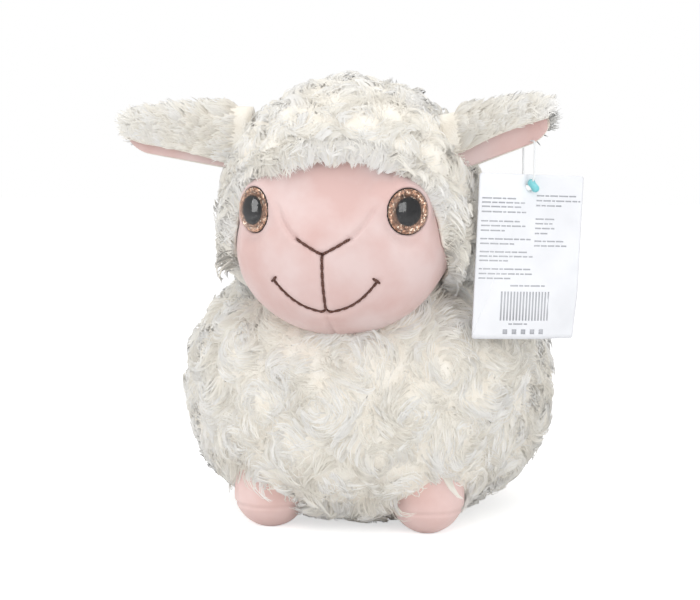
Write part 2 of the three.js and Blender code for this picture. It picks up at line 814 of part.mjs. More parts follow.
function tailRoom() {
  const swung = [-tailSwing, tailSwing].map((angle) => (
    placed(tailForm(swingGap, tailRadius / 2), tailMatrix().premultiply(aboutTail(angle)))));
  return union(swung).add(tailSocket());
}

// A turn about the upright line through the tail's hinge
function aboutTail(angle) {
  const place = new THREE.Vector3().setFromMatrixPosition(tailMatrix());
  const back = new THREE.Matrix4().makeTranslation(-place.x, -place.y, -place.z);
  return new THREE.Matrix4().makeRotationZ(radians(angle)).setPosition(place).multiply(back);
}

function tail() {
  const group = new THREE.Group();
  tailMatrix().decompose(group.position, group.quaternion, group.scale);
  const skin = solid(tailForm(0)).subtract(solid(tailForm(-tailFleece)));
  group.add(
    mesh('tail_coat', skin.subtract(above(0)), 'coat'),
    mesh('tail_filling', solid(tailForm(-tailFleece - seamGap)), 'filling'),
  );
  return group;
}

// The neck runs from the head's middle to the body's middle
function neck(radius) {
  const along = headMiddle.clone().sub(bodyMiddle);
  const upward = new THREE.Vector3(0, 0, 1);
  const turn = new THREE.Quaternion().setFromUnitVectors(upward, along.clone().normalize());
  const matrix = new THREE.Matrix4().compose(bodyMiddle, turn, new THREE.Vector3(1, 1, 1));
  return placed(rod(radius, 0, along.length(), limbAround), matrix);
}

const corners = {
  foot_front_left: [1, -1],
  foot_front_right: [-1, -1],
  foot_rear_left: [1, 1],
  foot_rear_right: [-1, 1],
};

function body() {
  const rooms = [...Object.values(corners).map(footRoom), tailRoom()];
  const sockets = [...Object.values(corners).map(footSocket), tailSocket()];
  const wall = coatForm(0).subtract(bodyForm(-fleece)).intersect(above(0));
  const coat = cut(wall, [...rooms, neck(neckRadius)]);
  const sides = coat.intersect(above(bellySeam + seamGap / 2));
  const group = new THREE.Group();
  group.add(
    mesh('body_panel_left', sides.intersect(beside(1)), 'coat'),
    mesh('body_panel_right', sides.intersect(beside(-1)), 'coat'),
    mesh('belly_panel', coat.subtract(above(bellySeam - seamGap / 2)), 'coat'),
    mesh('body_filling', cut(bodyForm(-fleece - seamGap), sockets), 'filling'),
  );
  return group;
}

function head() {
  const ears = Object.values(earFolds).map(earRoom);
  const earSockets = Object.values(earFolds).map(earSocket);
  const seats = [1, -1].map(eyeSeat);
  const pockets = [1, -1].map(washerPocket);
  const taken = coatForm(seamGap).add(neck(neckRadius));
  const wall = hoodForm().subtract(headForm(-velour));
  const hood = cut(wall, [throughFace(faceOutline(seamGap)), taken, ...ears, ...seats]);
  const skin = headForm(0).subtract(headForm(-velour)).intersect(throughFace(faceOutline(0)));
  const face = cut(skin, [taken, ...seats, ...pockets]);
  const cheeks = face.subtract(throughFace(foreheadOutline(seamGap)));
  const stuffing = headForm(-velour - seamGap).subtract(coatForm(seamGap));
  const filling = stuffing.add(neck(neckRadius - seamGap));
  const group = new THREE.Group();
  group.add(
    mesh('hood_left', hood.intersect(beside(1)), 'coat'),
    mesh('hood_right', hood.intersect(beside(-1)), 'coat'),
    mesh('face_forehead', face.intersect(throughFace(foreheadOutline(0))), 'face'),
    mesh('face_cheek_left', cheeks.intersect(beside(1)), 'face'),
    mesh('face_cheek_right', cheeks.intersect(beside(-1)), 'face'),
    mesh('head_filling', cut(filling, [bodyForm(-fleece), ...earSockets, ...seats, ...pockets]), 'filling'),
    eye('eye_left', 1),
    eye('eye_right', -1),
  );
  return group;
}

const toy = new THREE.Group();
toy.add(body(), head(), hangTag(), tail());
for (const [name, fold] of Object.entries(earFolds)) {
  toy.add(ear(`ear_${name}`, fold));
}
for (const [name, corner] of Object.entries(corners)) {
  toy.add(foot(name, corner));
}

export default toy;
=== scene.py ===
"""A stuffed sheep with a swirled fleece coat, a velour face and feet, safety eyes and a hang tag.

Sizes are in millimetres and angles in degrees, in the frame of the solids: the sheep looks along
-Y, its left side is +X, +Z is up, and it stands on the plane z = 0. Meshes are written in metres.
"""
import logging
import math
from dataclasses import dataclass, field, replace
from enum import Enum
from typing import Callable, Sequence

import bpy
import numpy as np
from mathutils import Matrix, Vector


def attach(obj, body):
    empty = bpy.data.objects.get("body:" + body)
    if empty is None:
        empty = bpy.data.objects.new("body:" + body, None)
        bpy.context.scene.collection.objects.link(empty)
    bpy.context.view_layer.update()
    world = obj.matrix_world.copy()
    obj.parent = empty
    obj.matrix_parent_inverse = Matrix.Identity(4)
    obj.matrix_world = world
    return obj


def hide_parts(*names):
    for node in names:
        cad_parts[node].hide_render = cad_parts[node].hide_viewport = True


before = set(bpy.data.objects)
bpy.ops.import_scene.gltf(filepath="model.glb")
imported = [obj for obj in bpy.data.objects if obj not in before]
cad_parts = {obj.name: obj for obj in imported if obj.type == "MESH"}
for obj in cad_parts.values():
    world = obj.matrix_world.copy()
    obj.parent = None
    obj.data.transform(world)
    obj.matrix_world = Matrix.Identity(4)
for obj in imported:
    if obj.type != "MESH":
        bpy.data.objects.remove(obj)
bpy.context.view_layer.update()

log = logging.getLogger("sheep")

MM = 0.001
SEED = 41
PIECE_STRANDS = 8800  # most strands in one piece
STEPS = np.array([0.0, 0.3, 0.6, 0.85, 1.0])  # where a strand's points lie along it
STRAND_SIDES = 3
LOCK_ROUNDNESS = 0.4  # how round a tuft is shaded, beside the coat that it stands on
OWN_ROUNDNESS = 0.3  # the same for a strand
RISE = np.array([0.0, 0.66, 0.97, 1.0, 0.9])  # share of its height that a strand has at each step
THICKNESS = np.array([0.8, 1.0, 0.85, 0.5])  # share of its radius that it has at each step but the last
TONE_PATCH = 14.0  # size of the patches of one tone
GOLDEN = math.pi * (3 - math.sqrt(5))
CHUNK = 4000  # points that are compared with others at a time
UV_NAME = "OFBake"

Array = np.ndarray
Triple = tuple[float, float, float]
Colour = Triple
Mover = Callable[[Array], Array]
Chance = np.random.Generator
Node = bpy.types.Node
Socket = bpy.types.NodeSocket


class Side(Enum):
    """The sheep's own left or right, as the sign of x."""

    LEFT = 1
    RIGHT = -1

    @property
    def word(self) -> str:
        """The side's name in lower case."""
        return self.name.lower()


def unit(vectors: Array) -> Array:
    """Vectors divided by their own length."""
    return vectors / np.maximum(np.linalg.norm(vectors, axis=-1, keepdims=True), 1e-12)


def ease(values: Array) -> Array:
    """Values limited to 0 to 1 and eased at both ends: three squares less two cubes."""
    held = np.clip(values, 0.0, 1.0)
    return held * held * (3 - 2 * held)


def along_skin(ways: Array, normal: Array) -> Array:
    """Unit directions of some ways without their parts along the normal."""
    return unit(ways - (ways * normal).sum(-1, keepdims=True) * normal)


def travelled(line: Array) -> Array:
    """Length along a line from its start to each of its points."""
    return np.concatenate([[0], np.cumsum(np.linalg.norm(np.diff(line, axis=0), axis=1))])


def rotated(first: Array, second: Array, angle: float) -> tuple[Array, Array]:
    """Two coordinates turned by an angle in degrees, from the first axis towards the second."""
    cos, sin = math.cos(math.radians(angle)), math.sin(math.radians(angle))
    return first * cos - second * sin, first * sin + second * cos


def full_turn(count: int) -> Array:
    """Even angles round a full turn, in radians."""
    return 2 * np.pi * np.arange(count) / count


def aimed(polar: Array, turn: Array) -> Array:
    """Unit directions at polar angles from straight ahead and turns about that line."""
    return np.stack([np.sin(polar) * np.cos(turn), -np.cos(polar), np.sin(polar) * np.sin(turn)], -1)


def nearest(points: Array, others: Array) -> tuple[Array, Array]:
    """The nearest of some other points to each point.

    Args:
        points: Points to look from, one a row.
        others: Points to look for, one a row.

    Returns:
        The index of the nearest other point, and its distance.
    """
    index = np.empty(len(points), int)
    gap = np.empty(len(points))
    squares = (others**2).sum(1)
    for start in range(0, len(points), CHUNK):
        part = points[start : start + CHUNK]
        table = squares[None] - 2 * part @ others.T
        best = table.argmin(1)
        index[start : start + CHUNK] = best
        gap[start : start + CHUNK] = np.linalg.norm(part - others[best], axis=1)
    return index, gap


class Clouds:
    """Smooth random values in space, the same for the same seed."""

    CELLS = 32

    def __init__(self, seed: int) -> None:
        """Fills the table of corner values from the seed."""
        self.table = np.random.default_rng(seed).random((self.CELLS,) * 3)

    def at(self, points: Array, size: float) -> Array:
        """Values from 0 to 1 at some points.

        The eight corner values of a point's cell are mixed by its eased place in the cell.

        Args:
            points: The points.
            size: Size of a cell.

        Returns:
            One value for each point.
        """
        scaled = points / size
        low = np.floor(scaled).astype(int)
        share = ease(scaled - low)
        total = np.zeros(points.shape[:-1])
        for corner in np.ndindex(2, 2, 2):
            cell = (low + corner) % self.CELLS
            weight = np.prod(np.where(np.array(corner) == 1, share, 1 - share), axis=-1)
            total += weight * self.table[cell[..., 0], cell[..., 1], cell[..., 2]]
        return total


CLOUDS = Clouds(SEED)
UP = np.array([0.0, 0.0, 1.0])


class Form:
    """A closed form that each ray from its middle leaves once."""

    middle: Array

    def reach(self, rays: Array, grow: float) -> Array:
        """Distance from the middle to the skin, with the form grown by `grow`."""
        raise NotImplementedError

    def skin(self, rays: Array, grow: float = 0.0) -> Array:
        """Points of the skin: the middle and the ray times the reach."""
        return self.middle + rays * self.reach(rays, grow)[..., None]

    def toward(self, points: Array) -> Array:
        """Unit directions from the middle to some points."""
        return unit(points - self.middle)

    def normal(self, rays: Array, grow: float = 0.0) -> Array:
        """Outward unit normals: the cross product of two short steps over the skin.

        Args:
            rays: Unit directions from the middle.
            grow: How far the form is grown.

        Returns:
            The normal for each ray.
        """
        step = 2e-3
        helper = np.where(np.abs(rays[..., 2:]) < 0.9, [0.0, 0.0, 1.0], [1.0, 0.0, 0.0])
        across = unit(np.cross(rays, helper))
        along = np.cross(rays, across)
        spans = [
            self.skin(unit(rays + step * way), grow) - self.skin(unit(rays - step * way), grow)
            for way in (across, along)
        ]
        return unit(np.cross(*spans))

    def inside(self, points: Array, grow: float = 0.0) -> Array:
        """Whether points lie inside the skin."""
        away = points - self.middle
        return np.linalg.norm(away, axis=-1) < self.reach(unit(away), grow)


@dataclass(frozen=True)
class Egg(Form):
    """An ellipsoid of its own fullness above and below its widest level, tilted about X.

    The skin is where the level share and the upright share, each to the power of the fullness,
    add up to one.
    """

    middle: Array
    half_width: float
    half_depth: float
    up: float
    down: float
    full_up: float = 2.0
    full_down: float = 2.0
    tilt: float = 0.0

    def reach(self, rays: Array, grow: float) -> Array:
        """Distance from the middle to the skin."""
        y, z = rotated(rays[..., 1], rays[..., 2], -self.tilt)
        level = np.hypot(rays[..., 0] / (self.half_width + grow), y / (self.half_depth + grow))
        upright = np.abs(z) / np.where(z > 0, self.up + grow, self.down + grow)
        fullness = np.where(z > 0, self.full_up, self.full_down)
        return (level**fullness + upright**fullness) ** (-1 / fullness)


@dataclass(frozen=True)
class HeadForm(Form):
    """Cranium and muzzle, blended where they meet by the power mean of their reaches."""

    middle: Array
    radius: float = 61.0
    muzzle_half: Triple = (54.0, 49.0, 45.0)
    muzzle_at: Triple = (0.0, -30.0, -19.0)
    blend: float = 14.0

    def lobe(self, rays: Array, middle: Array, half: Array) -> Array:
        """Reach of one ellipsoid from the head's middle, by the quadratic formula."""
        start = -middle / half
        step = rays / half
        a = (step**2).sum(-1)
        b = step @ start
        c = start @ start - 1
        return (-b + np.sqrt(b * b - a * c)) / a

    def reach(self, rays: Array, grow: float) -> Array:
        """Distance from the middle to the skin."""
        cranium = self.lobe(rays, np.zeros(3), np.full(3, self.radius) + grow)
        muzzle = self.lobe(rays, np.array(self.muzzle_at), np.array(self.muzzle_half) + grow)
        return (cranium**self.blend + muzzle**self.blend) ** (1 / self.blend)


@dataclass(frozen=True)
class Quilt:
    """Swirls and hollows that take turns along the rings of a form, as its solid has them.

    The dip under the swirls' tops is half the depth times one less the product of the cosines of
    the turn times the swirls on a ring, of the rise times the rows, and of the rise.
    """

    axis: int  # the axis that the rings run round, 1 for Y and 2 for Z
    around: int
    rows: int
    depth: float = 4.0
    fade_start: float = -2.0  # slope under which the swirls fade, as the sine of the rise
    fade_end: float = -3.0

    def dip(self, rays: Array) -> Array:
        """How far the skin lies under the swirls' tops."""
        other = rays[..., 3 - self.axis]
        turn = np.arctan2(other, rays[..., 0])
        rise = np.arcsin(np.clip(rays[..., self.axis], -1, 1))
        share = np.cos(self.around * turn) * np.cos(self.rows * rise) * np.cos(rise)
        fade = ease((rays[..., self.axis] - self.fade_end) / (self.fade_start - self.fade_end))
        return fade * self.depth * (1 - share) / 2

    def tops(self) -> Array:
        """Directions of the swirls' tops: every second corner of the grid of rings."""
        row, place = np.meshgrid(np.arange(1, self.rows), np.arange(2 * self.around), indexing="ij")
        even = (row + place + self.rows // 2) % 2 == 0
        turn = np.pi * place[even] / self.around
        rise = np.pi / 2 - np.pi * row[even] / self.rows
        rays = np.zeros((len(turn), 3))
        rays[:, 0] = np.cos(rise) * np.cos(turn)
        rays[:, 3 - self.axis] = np.cos(rise) * np.sin(turn)
        rays[:, self.axis] = np.sin(rise)
        return rays


@dataclass(frozen=True)
class Quilted(Form):
    """A form with a quilt's swirls and hollows."""

    plain: Form
    quilt: Quilt

    @property
    def middle(self) -> Array:
        """The plain form's middle."""
        return self.plain.middle

    def reach(self, rays: Array, grow: float) -> Array:
        """The plain form's reach less the quilt's dip."""
        return self.plain.reach(rays, grow) - self.quilt.dip(rays)


def ball_rays(rings: int, around: int, crowd: float = 1.0) -> Array:
    """Rays to a ball's points: the upper pole, the rings and the lower pole.

    Args:
        rings: Rings between the poles.
        around: Points on a ring.
        crowd: Power over 1, which crowds the rings towards the first pole.

    Returns:
        The rays, with the first pole at +Z.
    """
    polar = np.pi * (np.arange(1, rings + 1) / (rings + 1)) ** crowd
    a, b = np.meshgrid(polar, full_turn(around), indexing="ij")
    grid = np.stack([np.sin(a) * np.cos(b), np.sin(a) * np.sin(b), np.cos(a)], -1).reshape(-1, 3)
    return np.concatenate([[[0, 0, 1]], grid, [[0, 0, -1]]])


def ball_faces(rings: int, around: int) -> list[Array]:
    """Faces of a ball's points, pointing outwards.

    Args:
        rings: Rings between the poles.
        around: Points on a ring.

    Returns:
        Its four-sided faces and its three-sided faces at the poles.
    """
    here = 1 + np.arange(rings * around).reshape(rings, around)
    beside = np.roll(here, -1, axis=1)
    quads = np.stack([here[:-1], here[1:], beside[1:], beside[:-1]], -1).reshape(-1, 4)
    last = rings * around + 1
    first_cap = np.stack([np.zeros(around, int), here[0], beside[0]], -1)
    last_cap = np.stack([np.full(around, last), beside[-1], here[-1]], -1)
    return [quads, np.concatenate([first_cap, last_cap])]


def ring_faces(rings: int, around: int) -> Array:
    """Four-sided faces of rings of points that close on themselves both ways."""
    here = np.arange(rings * around).reshape(rings, around)
    beside = np.roll(here, -1, axis=1)
    ahead, both = np.roll(here, -1, axis=0), np.roll(beside, -1, axis=0)
    return np.stack([here, beside, both, ahead], -1).reshape(-1, 4)


def turned(points: Array) -> Array:
    """Points turned so that +Z becomes -Y and +Y becomes +Z."""
    return np.stack([points[..., 0], -points[..., 2], points[..., 1]], -1)


@dataclass
class Shape:
    """Points and faces of one closed mesh, with a map for its corners and normals if it has them."""

    points: Array
    faces: list[Array]
    corner_map: Array | None = None
    normals: Array | None = None

    def flipped(self) -> "Shape":
        """The same shape with its faces turned over."""
        return Shape(self.points, [part[:, ::-1] for part in self.faces], self.corner_map)


def joined(shapes: Sequence[Shape]) -> Shape:
    """Several shapes as one, with their maps if they have them."""
    points, faces, start = [], [], 0
    for shape in shapes:
        points.append(shape.points)
        faces += [part + start for part in shape.faces]
        start += len(shape.points)
    maps = [shape.corner_map for shape in shapes if shape.corner_map is not None]
    return Shape(np.concatenate(points), faces, np.concatenate(maps) if maps else None)


def spun(rows: Array, around: int) -> Array:
    """Rings of points about +Z.

    Args:
        rows: Radius and height of each ring.
        around: Points on a ring.

    Returns:
        The points of all the rings, one a row.
    """
    turn = full_turn(around)
    x = rows[:, :1] * np.cos(turn)
    y = rows[:, :1] * np.sin(turn)
    z = np.repeat(rows[:, 1:], around, axis=1)
    return np.stack([x, y, z], -1).reshape(-1, 3)


def capped(rows: Array) -> Array:
    """Points of some rings, with the middles of the first and the last ring as the closing points."""
    first, last = rows[0].mean(0, keepdims=True), rows[-1].mean(0, keepdims=True)
    return np.concatenate([first, rows.reshape(-1, 3), last])


def lathe(profile: Array, around: int) -> Shape:
    """A closed form about +Z, from a profile's radius and height in rows from pole to pole."""
    points = np.concatenate([[[0, 0, profile[0, 1]]], spun(profile[1:-1], around), [[0, 0, profile[-1, 1]]]])
    return Shape(points, ball_faces(len(profile) - 2, around))


def tube(path: Array, radii: Array, sides: int, up: Array) -> Shape:
    """A round profile carried along a path and closed at both ends.

    Args:
        path: Points of the path, one a row.
        radii: Radius at each point.
        sides: Sides of the profile.
        up: A direction that is never along the path.

    Returns:
        The closed shape, mapped by its turn and its length.
    """
    ahead = unit(np.gradient(path, axis=0))
    aside = unit(np.cross(up, ahead))
    above = np.cross(ahead, aside)
    turn = full_turn(sides)
    rings = (
        path[:, None]
        + radii[:, None, None] * np.cos(turn)[None, :, None] * aside[:, None]
        + radii[:, None, None] * np.sin(turn)[None, :, None] * above[:, None]
    )
    points = np.concatenate([path[:1], rings.reshape(-1, 3), path[-1:]])
    faces = [part[:, ::-1] for part in ball_faces(len(path), sides)]
    along = travelled(path)
    place = np.concatenate([[along[0]], np.repeat(along, sides), [along[-1]]])
    share = np.concatenate([[0], np.tile(np.arange(sides) / sides, len(path)), [0]])
    corners = np.concatenate([part.ravel() for part in faces])
    return Shape(points, faces, np.stack([share[corners], place[corners]], -1))


def add_piece(
    name: str,
    shape: Shape,
    finish: "Finish",
    body: str,
    replaced: Sequence[str] = (),
) -> bpy.types.Object:
    """Writes a shape into a mesh, and hangs it on a body of the frame.

    Args:
        name: The piece's name.
        shape: Its points in millimetres and its faces.
        finish: Its finish.
        body: The body that it rides on.
        replaced: The solids that it stands for.

    Returns:
        The new object.
    """
    mesh = bpy.data.meshes.new(name)
    sizes = np.concatenate([np.full(len(part), part.shape[1]) for part in shape.faces])
    corners = np.concatenate([part.ravel() for part in shape.faces])
    mesh.vertices.add(len(shape.points))
    mesh.vertices.foreach_set("co", (shape.points * MM).astype(np.float32).ravel())
    mesh.loops.add(len(corners))
    mesh.loops.foreach_set("vertex_index", corners.astype(np.int32))
    mesh.polygons.add(len(sizes))
    starts = np.concatenate([[0], np.cumsum(sizes)[:-1]])
    mesh.polygons.foreach_set("loop_start", starts.astype(np.int32))
    mesh.update(calc_edges=True)
    if shape.corner_map is not None:
        layer = mesh.uv_layers.new(name=UV_NAME)
        layer.data.foreach_set("uv", shape.corner_map.astype(np.float32).ravel())
    mesh.shade_smooth()
    if shape.normals is not None:
        mesh.normals_split_custom_set_from_vertices(shape.normals)
    mesh.materials.append(finish.material())
    piece = bpy.data.objects.new(name, mesh)
    bpy.context.scene.collection.objects.link(piece)
    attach(piece, body)
    if replaced:
        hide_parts(*replaced)
    log.info("%s: %d points on %s", name, len(shape.points), body)
    return piece


@dataclass(frozen=True)
class Nodes:
    """A short way to lay the nodes of a tree."""

    tree: bpy.types.NodeTree

    def add(self, kind: str, inputs: dict | None = None, **settings) -> Node:
        """Adds a node.

        Args:
            kind: The node's type.
            inputs: Value or linked output for each named or numbered input.
            **settings: Properties of the node.

        Returns:
            The new node.
        """
        node = self.tree.nodes.new(kind)
        for key, value in settings.items():
            setattr(node, key, value)
        self.feed(node, inputs or {})
        return node

    def feed(self, node: Node, inputs: dict) -> None:
        """Sets or links some inputs of a node.

        Args:
            node: The node.
            inputs: Value or linked output for each named or numbered input.
        """
        for key, value in inputs.items():
            if isinstance(value, Socket):
                self.tree.links.new(value, node.inputs[key])
            else:
                node.inputs[key].default_value = value

    def maths(self, operation: str, first: Socket, second: Socket | float) -> Socket:
        """Adds a sum, a product or another operation on two values."""
        return self.add("ShaderNodeMath", {0: first, 1: second}, operation=operation).outputs[0]

    def mix(self, share: Socket | float, first: Socket, second: Socket, blend_type: str = "MIX") -> Socket:
        """Adds a mix of two colours."""
        inputs = {0: share, 6: first, 7: second}
        return self.add("ShaderNodeMix", inputs, data_type="RGBA", blend_type=blend_type).outputs[2]

    def blend(self, share: Socket | float, first: Socket, second: Socket) -> Socket:
        """Adds a blend of two shaders, in which the second has the share."""
        return self.add("ShaderNodeMixShader", {0: share, 1: first, 2: second}).outputs[0]

    def mapped(self) -> bpy.types.bpy_prop_collection:
        """Adds the piece's map, and returns its two values as the outputs X and Y."""
        place = self.add("ShaderNodeUVMap", uv_map=UV_NAME).outputs["UV"]
        return self.add("ShaderNodeSeparateXYZ", {"Vector": place}).outputs

    def ramp(self, factor: Socket, stops: Sequence[tuple[float, Colour]]) -> Socket:
        """Adds a colour ramp.

        Args:
            factor: What the ramp reads.
            stops: Place and colour of each stop.

        Returns:
            The ramp's colour.
        """
        node = self.add("ShaderNodeValToRGB", {"Fac": factor})
        elements = node.color_ramp.elements
        while len(elements) < len(stops):
            elements.new(0.5)
        for element, (place, colour) in zip(elements, stops):
            element.position = place
            element.color = (*colour, 1)
        return node.outputs["Color"]


def emptied(owner: bpy.types.Material | bpy.types.World) -> Nodes:
    """Turns on the nodes of a material or a world and takes out those that it starts with."""
    owner.use_nodes = True
    owner.node_tree.nodes.clear()
    return Nodes(owner.node_tree)


def grain_group() -> None:
    """Adds the node group of mottling and fine relief.

    It has two noises in the piece's own space: a coarse one that mixes two colours, and a fine one
    that gives the height.
    """
    tree = bpy.data.node_groups.new("Grain", "ShaderNodeTree")
    kinds = {
        "INPUT": {"Coarse": "Float", "Fine": "Float", "Low": "Color", "High": "Color"},
        "OUTPUT": {"Colour": "Color", "Height": "Float"},
    }
    for end, sockets in kinds.items():
        for key, kind in sockets.items():
            tree.interface.new_socket(name=key, in_out=end, socket_type=f"NodeSocket{kind}")
    nodes = Nodes(tree)
    given = nodes.add("NodeGroupInput").outputs
    place = nodes.add("ShaderNodeTexCoord").outputs["Object"]
    coarse = nodes.add("ShaderNodeTexNoise", {"Vector": place, "Scale": given["Coarse"], "Detail": 4.0})
    fine = nodes.add("ShaderNodeTexNoise", {"Vector": place, "Scale": given["Fine"], "Detail": 3.0})
    limits = {"Value": coarse.outputs["Fac"], "From Min": 0.35, "From Max": 0.65}
    spread = nodes.add("ShaderNodeMapRange", limits).outputs["Result"]
    colour = nodes.mix(spread, given["Low"], given["High"])
    nodes.add("NodeGroupOutput", {"Colour": colour, "Height": fine.outputs["Fac"]})


@dataclass(frozen=True)
class Finish:
    """A surface with grain: mottled between two colours, with fine relief and an even shader."""

    name: str
    low: Colour
    high: Colour
    coarse: float = 60.0
    fine: float = 2500.0
    relief: float = 0.2
    depth: float = 0.0003
    roughness: float = 0.85
    metallic: float = 0.0
    sheen: float = 0.0
    sheen_tint: Colour = (1.0, 1.0, 1.0)
    coat: float = 0.0
    shine: float = 0.5

    def shader(self, nodes: Nodes) -> Node:
        """The main shader with its even values set on its own sockets.

        Args:
            nodes: The material's nodes.

        Returns:
            The shader's node.
        """
        return nodes.add(
            "ShaderNodeBsdfPrincipled",
            {
                "Roughness": self.roughness,
                "Metallic": self.metallic,
                "Sheen Weight": self.sheen,
                "Sheen Tint": (*self.sheen_tint, 1),
                "Sheen Roughness": 0.4,
                "Coat Weight": self.coat,
                "Specular IOR Level": self.shine,
            },
        )

    def surface(self, nodes: Nodes, shader: Node) -> None:
        """Links the grain's colour and relief to the shader.

        Args:
            nodes: The material's nodes.
            shader: The shader's node.
        """
        values = {"Coarse": self.coarse, "Fine": self.fine, "Low": (*self.low, 1), "High": (*self.high, 1)}
        grain = nodes.add("ShaderNodeGroup", values, node_tree=bpy.data.node_groups["Grain"]).outputs
        self.link(nodes, shader, grain["Colour"], grain["Height"])

    def link(self, nodes: Nodes, shader: Node, colour: Socket, height: Socket) -> None:
        """Links a colour, and the relief that a height gives, to the shader."""
        values = {"Strength": self.relief, "Distance": self.depth, "Height": height}
        nodes.feed(shader, {"Base Color": colour, "Normal": nodes.add("ShaderNodeBump", values).outputs[0]})

    def output(self, nodes: Nodes, shader: Node) -> Socket:
        """What the material shows: the main shader alone."""
        return shader.outputs["BSDF"]

    def material(self) -> bpy.types.Material:
        """The finish as a material, made once."""
        made = bpy.data.materials.get(self.name)
        if made:
            return made
        made = bpy.data.materials.new(self.name)
        nodes = emptied(made)
        shader = self.shader(nodes)
        self.surface(nodes, shader)
        nodes.add("ShaderNodeOutputMaterial", {"Surface": self.output(nodes, shader)})
        return made


@dataclass(frozen=True)
class StrandFinish(Finish):
    """Fleece strands: coloured from root to tip and by each strand's own tone, both with painted shade low in
    the pile.
    """

    # The root colour is partly the fleece's warmer roots and partly painted shade deep in the pile.
    root: Colour = (0.80, 0.765, 0.71)
    warm: Colour = (0.97, 0.945, 0.885)
    # Painted shade at the tone's far end, which strands deep in the quilt's hollows lean towards.
    crease: Colour = (0.86, 0.83, 0.775)
    clear: float = 0.93  # share of the light that gets past a strand, between its fibres
    glow: float = 0.18  # share of the light on its far side that a strand shows

    def output(self, nodes: Nodes, shader: Node) -> Socket:
        """Lets light past and through the strand, which stands for many fibres, but shows it whole."""
        base = shader.inputs["Base Color"].links[0].from_socket
        through = nodes.add("ShaderNodeBsdfTranslucent", {"Color": base}).outputs["BSDF"]
        fibre = nodes.blend(self.glow, shader.outputs["BSDF"], through)
        path = nodes.add("ShaderNodeLightPath").outputs
        light = nodes.maths("MAXIMUM", path["Is Shadow Ray"], path["Is Diffuse Ray"])
        share = nodes.maths("MULTIPLY", light, self.clear)
        past = nodes.add("ShaderNodeBsdfTransparent").outputs["BSDF"]
        return nodes.blend(share, fibre, past)

    def surface(self, nodes: Nodes, shader: Node) -> None:
        """Links the strand's map, along it and by tone, to the colour."""
        place = nodes.mapped()
        along = nodes.ramp(place["X"], [(0.0, self.root), (0.45, self.low), (1.0, self.high)])
        toned = nodes.ramp(place["Y"], [(0.2, (1, 1, 1)), (0.72, self.warm), (1.0, self.crease)])
        nodes.feed(shader, {"Base Color": nodes.mix(1.0, along, toned, "MULTIPLY")})


@dataclass(frozen=True)
class ThreadFinish(Finish):
    """Embroidery thread: brown plies that wind along it, darker in the grooves between them as painted shade
    and lighter on their crowns as painted light.
    """

    ply: float = 1.1

    def surface(self, nodes: Nodes, shader: Node) -> None:
        """Links stripes that climb round the thread: a height from 0 to 1 and back over each ply, which gives
        the relief and also the colour, darkest in the grooves as painted shade.
        """
        place = nodes.mapped()
        climb = nodes.maths("ADD", nodes.maths("MULTIPLY", place["Y"], 1 / self.ply), place["X"])
        height = nodes.maths("MULTIPLY", nodes.maths("PINGPONG", climb, 0.5), 2.0)
        self.link(nodes, shader, nodes.ramp(height, [(0.0, self.low), (1.0, self.high)]), height)


@dataclass(frozen=True)
class GlitterFinish(Finish):
    """Glitter under a clear dome: small flat flakes, each dark or bright bronze by chance, and a few
    near-white ones as painted glints.
    """

    flake: float = 1500.0
    bright: Colour = (0.62, 0.35, 0.23)
    # Painted glint: the near-white colour of the rarest flakes.
    painted_glint: Colour = (1.0, 0.86, 0.7)

    def surface(self, nodes: Nodes, shader: Node) -> None:
        """Links the flakes' chance values to the colour, and their cells to the relief."""
        place = nodes.add("ShaderNodeTexCoord").outputs["Object"]
        cells = nodes.add("ShaderNodeTexVoronoi", {"Vector": place, "Scale": self.flake}).outputs
        chance = nodes.add("ShaderNodeSeparateXYZ", {"Vector": cells["Color"]}).outputs["X"]
        stops = [(0.0, self.low), (0.5, self.high), (0.86, self.bright), (0.98, self.painted_glint)]
        self.link(nodes, shader, nodes.ramp(chance, stops), cells["Distance"])


@dataclass(frozen=True)
class ClearFinish(Finish):
    """Clear plastic: polished, with a part of it finely rubbed."""

    rubbed: float = 0.28  # roughness of the rubbed part
    share: float = 0.26  # share of the rubbed part
    index: float = 1.47  # refractive index

    def output(self, nodes: Nodes, shader: Node) -> Socket:
        """What the material shows: a blend of the polished and the rubbed plastic."""
        rough = self.shader(nodes)
        self.surface(nodes, rough)
        nodes.feed(rough, {"Roughness": self.rubbed})
        return nodes.blend(self.share, shader.outputs["BSDF"], rough.outputs["BSDF"])

    def surface(self, nodes: Nodes, shader: Node) -> None:
        """Sets the clear plastic's even values."""
        nodes.feed(shader, {"Base Color": (*self.high, 1), "Transmission Weight": 1.0, "IOR": self.index})


FLEECE_STRANDS = StrandFinish(
    "Fleece strands", (0.92, 0.90, 0.86), (0.98, 0.97, 0.945), roughness=0.8, sheen=0.3, shine=0.2
)
# The backing is a warm cream kept darker than the strands, as painted shade for the depth between them.
SHADED_FLEECE_BACKING = Finish(
    "Fleece backing in painted shade", (0.86, 0.80, 0.70), (0.93, 0.89, 0.81),
    coarse=120.0, fine=1500.0, relief=0.6, depth=0.0008, roughness=0.95, sheen=0.3,
)
VELOUR = Finish(
    "Pink velour", (0.66, 0.455, 0.425), (0.72, 0.565, 0.545),
    coarse=38.0, fine=2600.0, relief=0.35, depth=0.0004, roughness=0.92, shine=0.2,
    sheen=0.45, sheen_tint=(1.0, 0.86, 0.82),
)
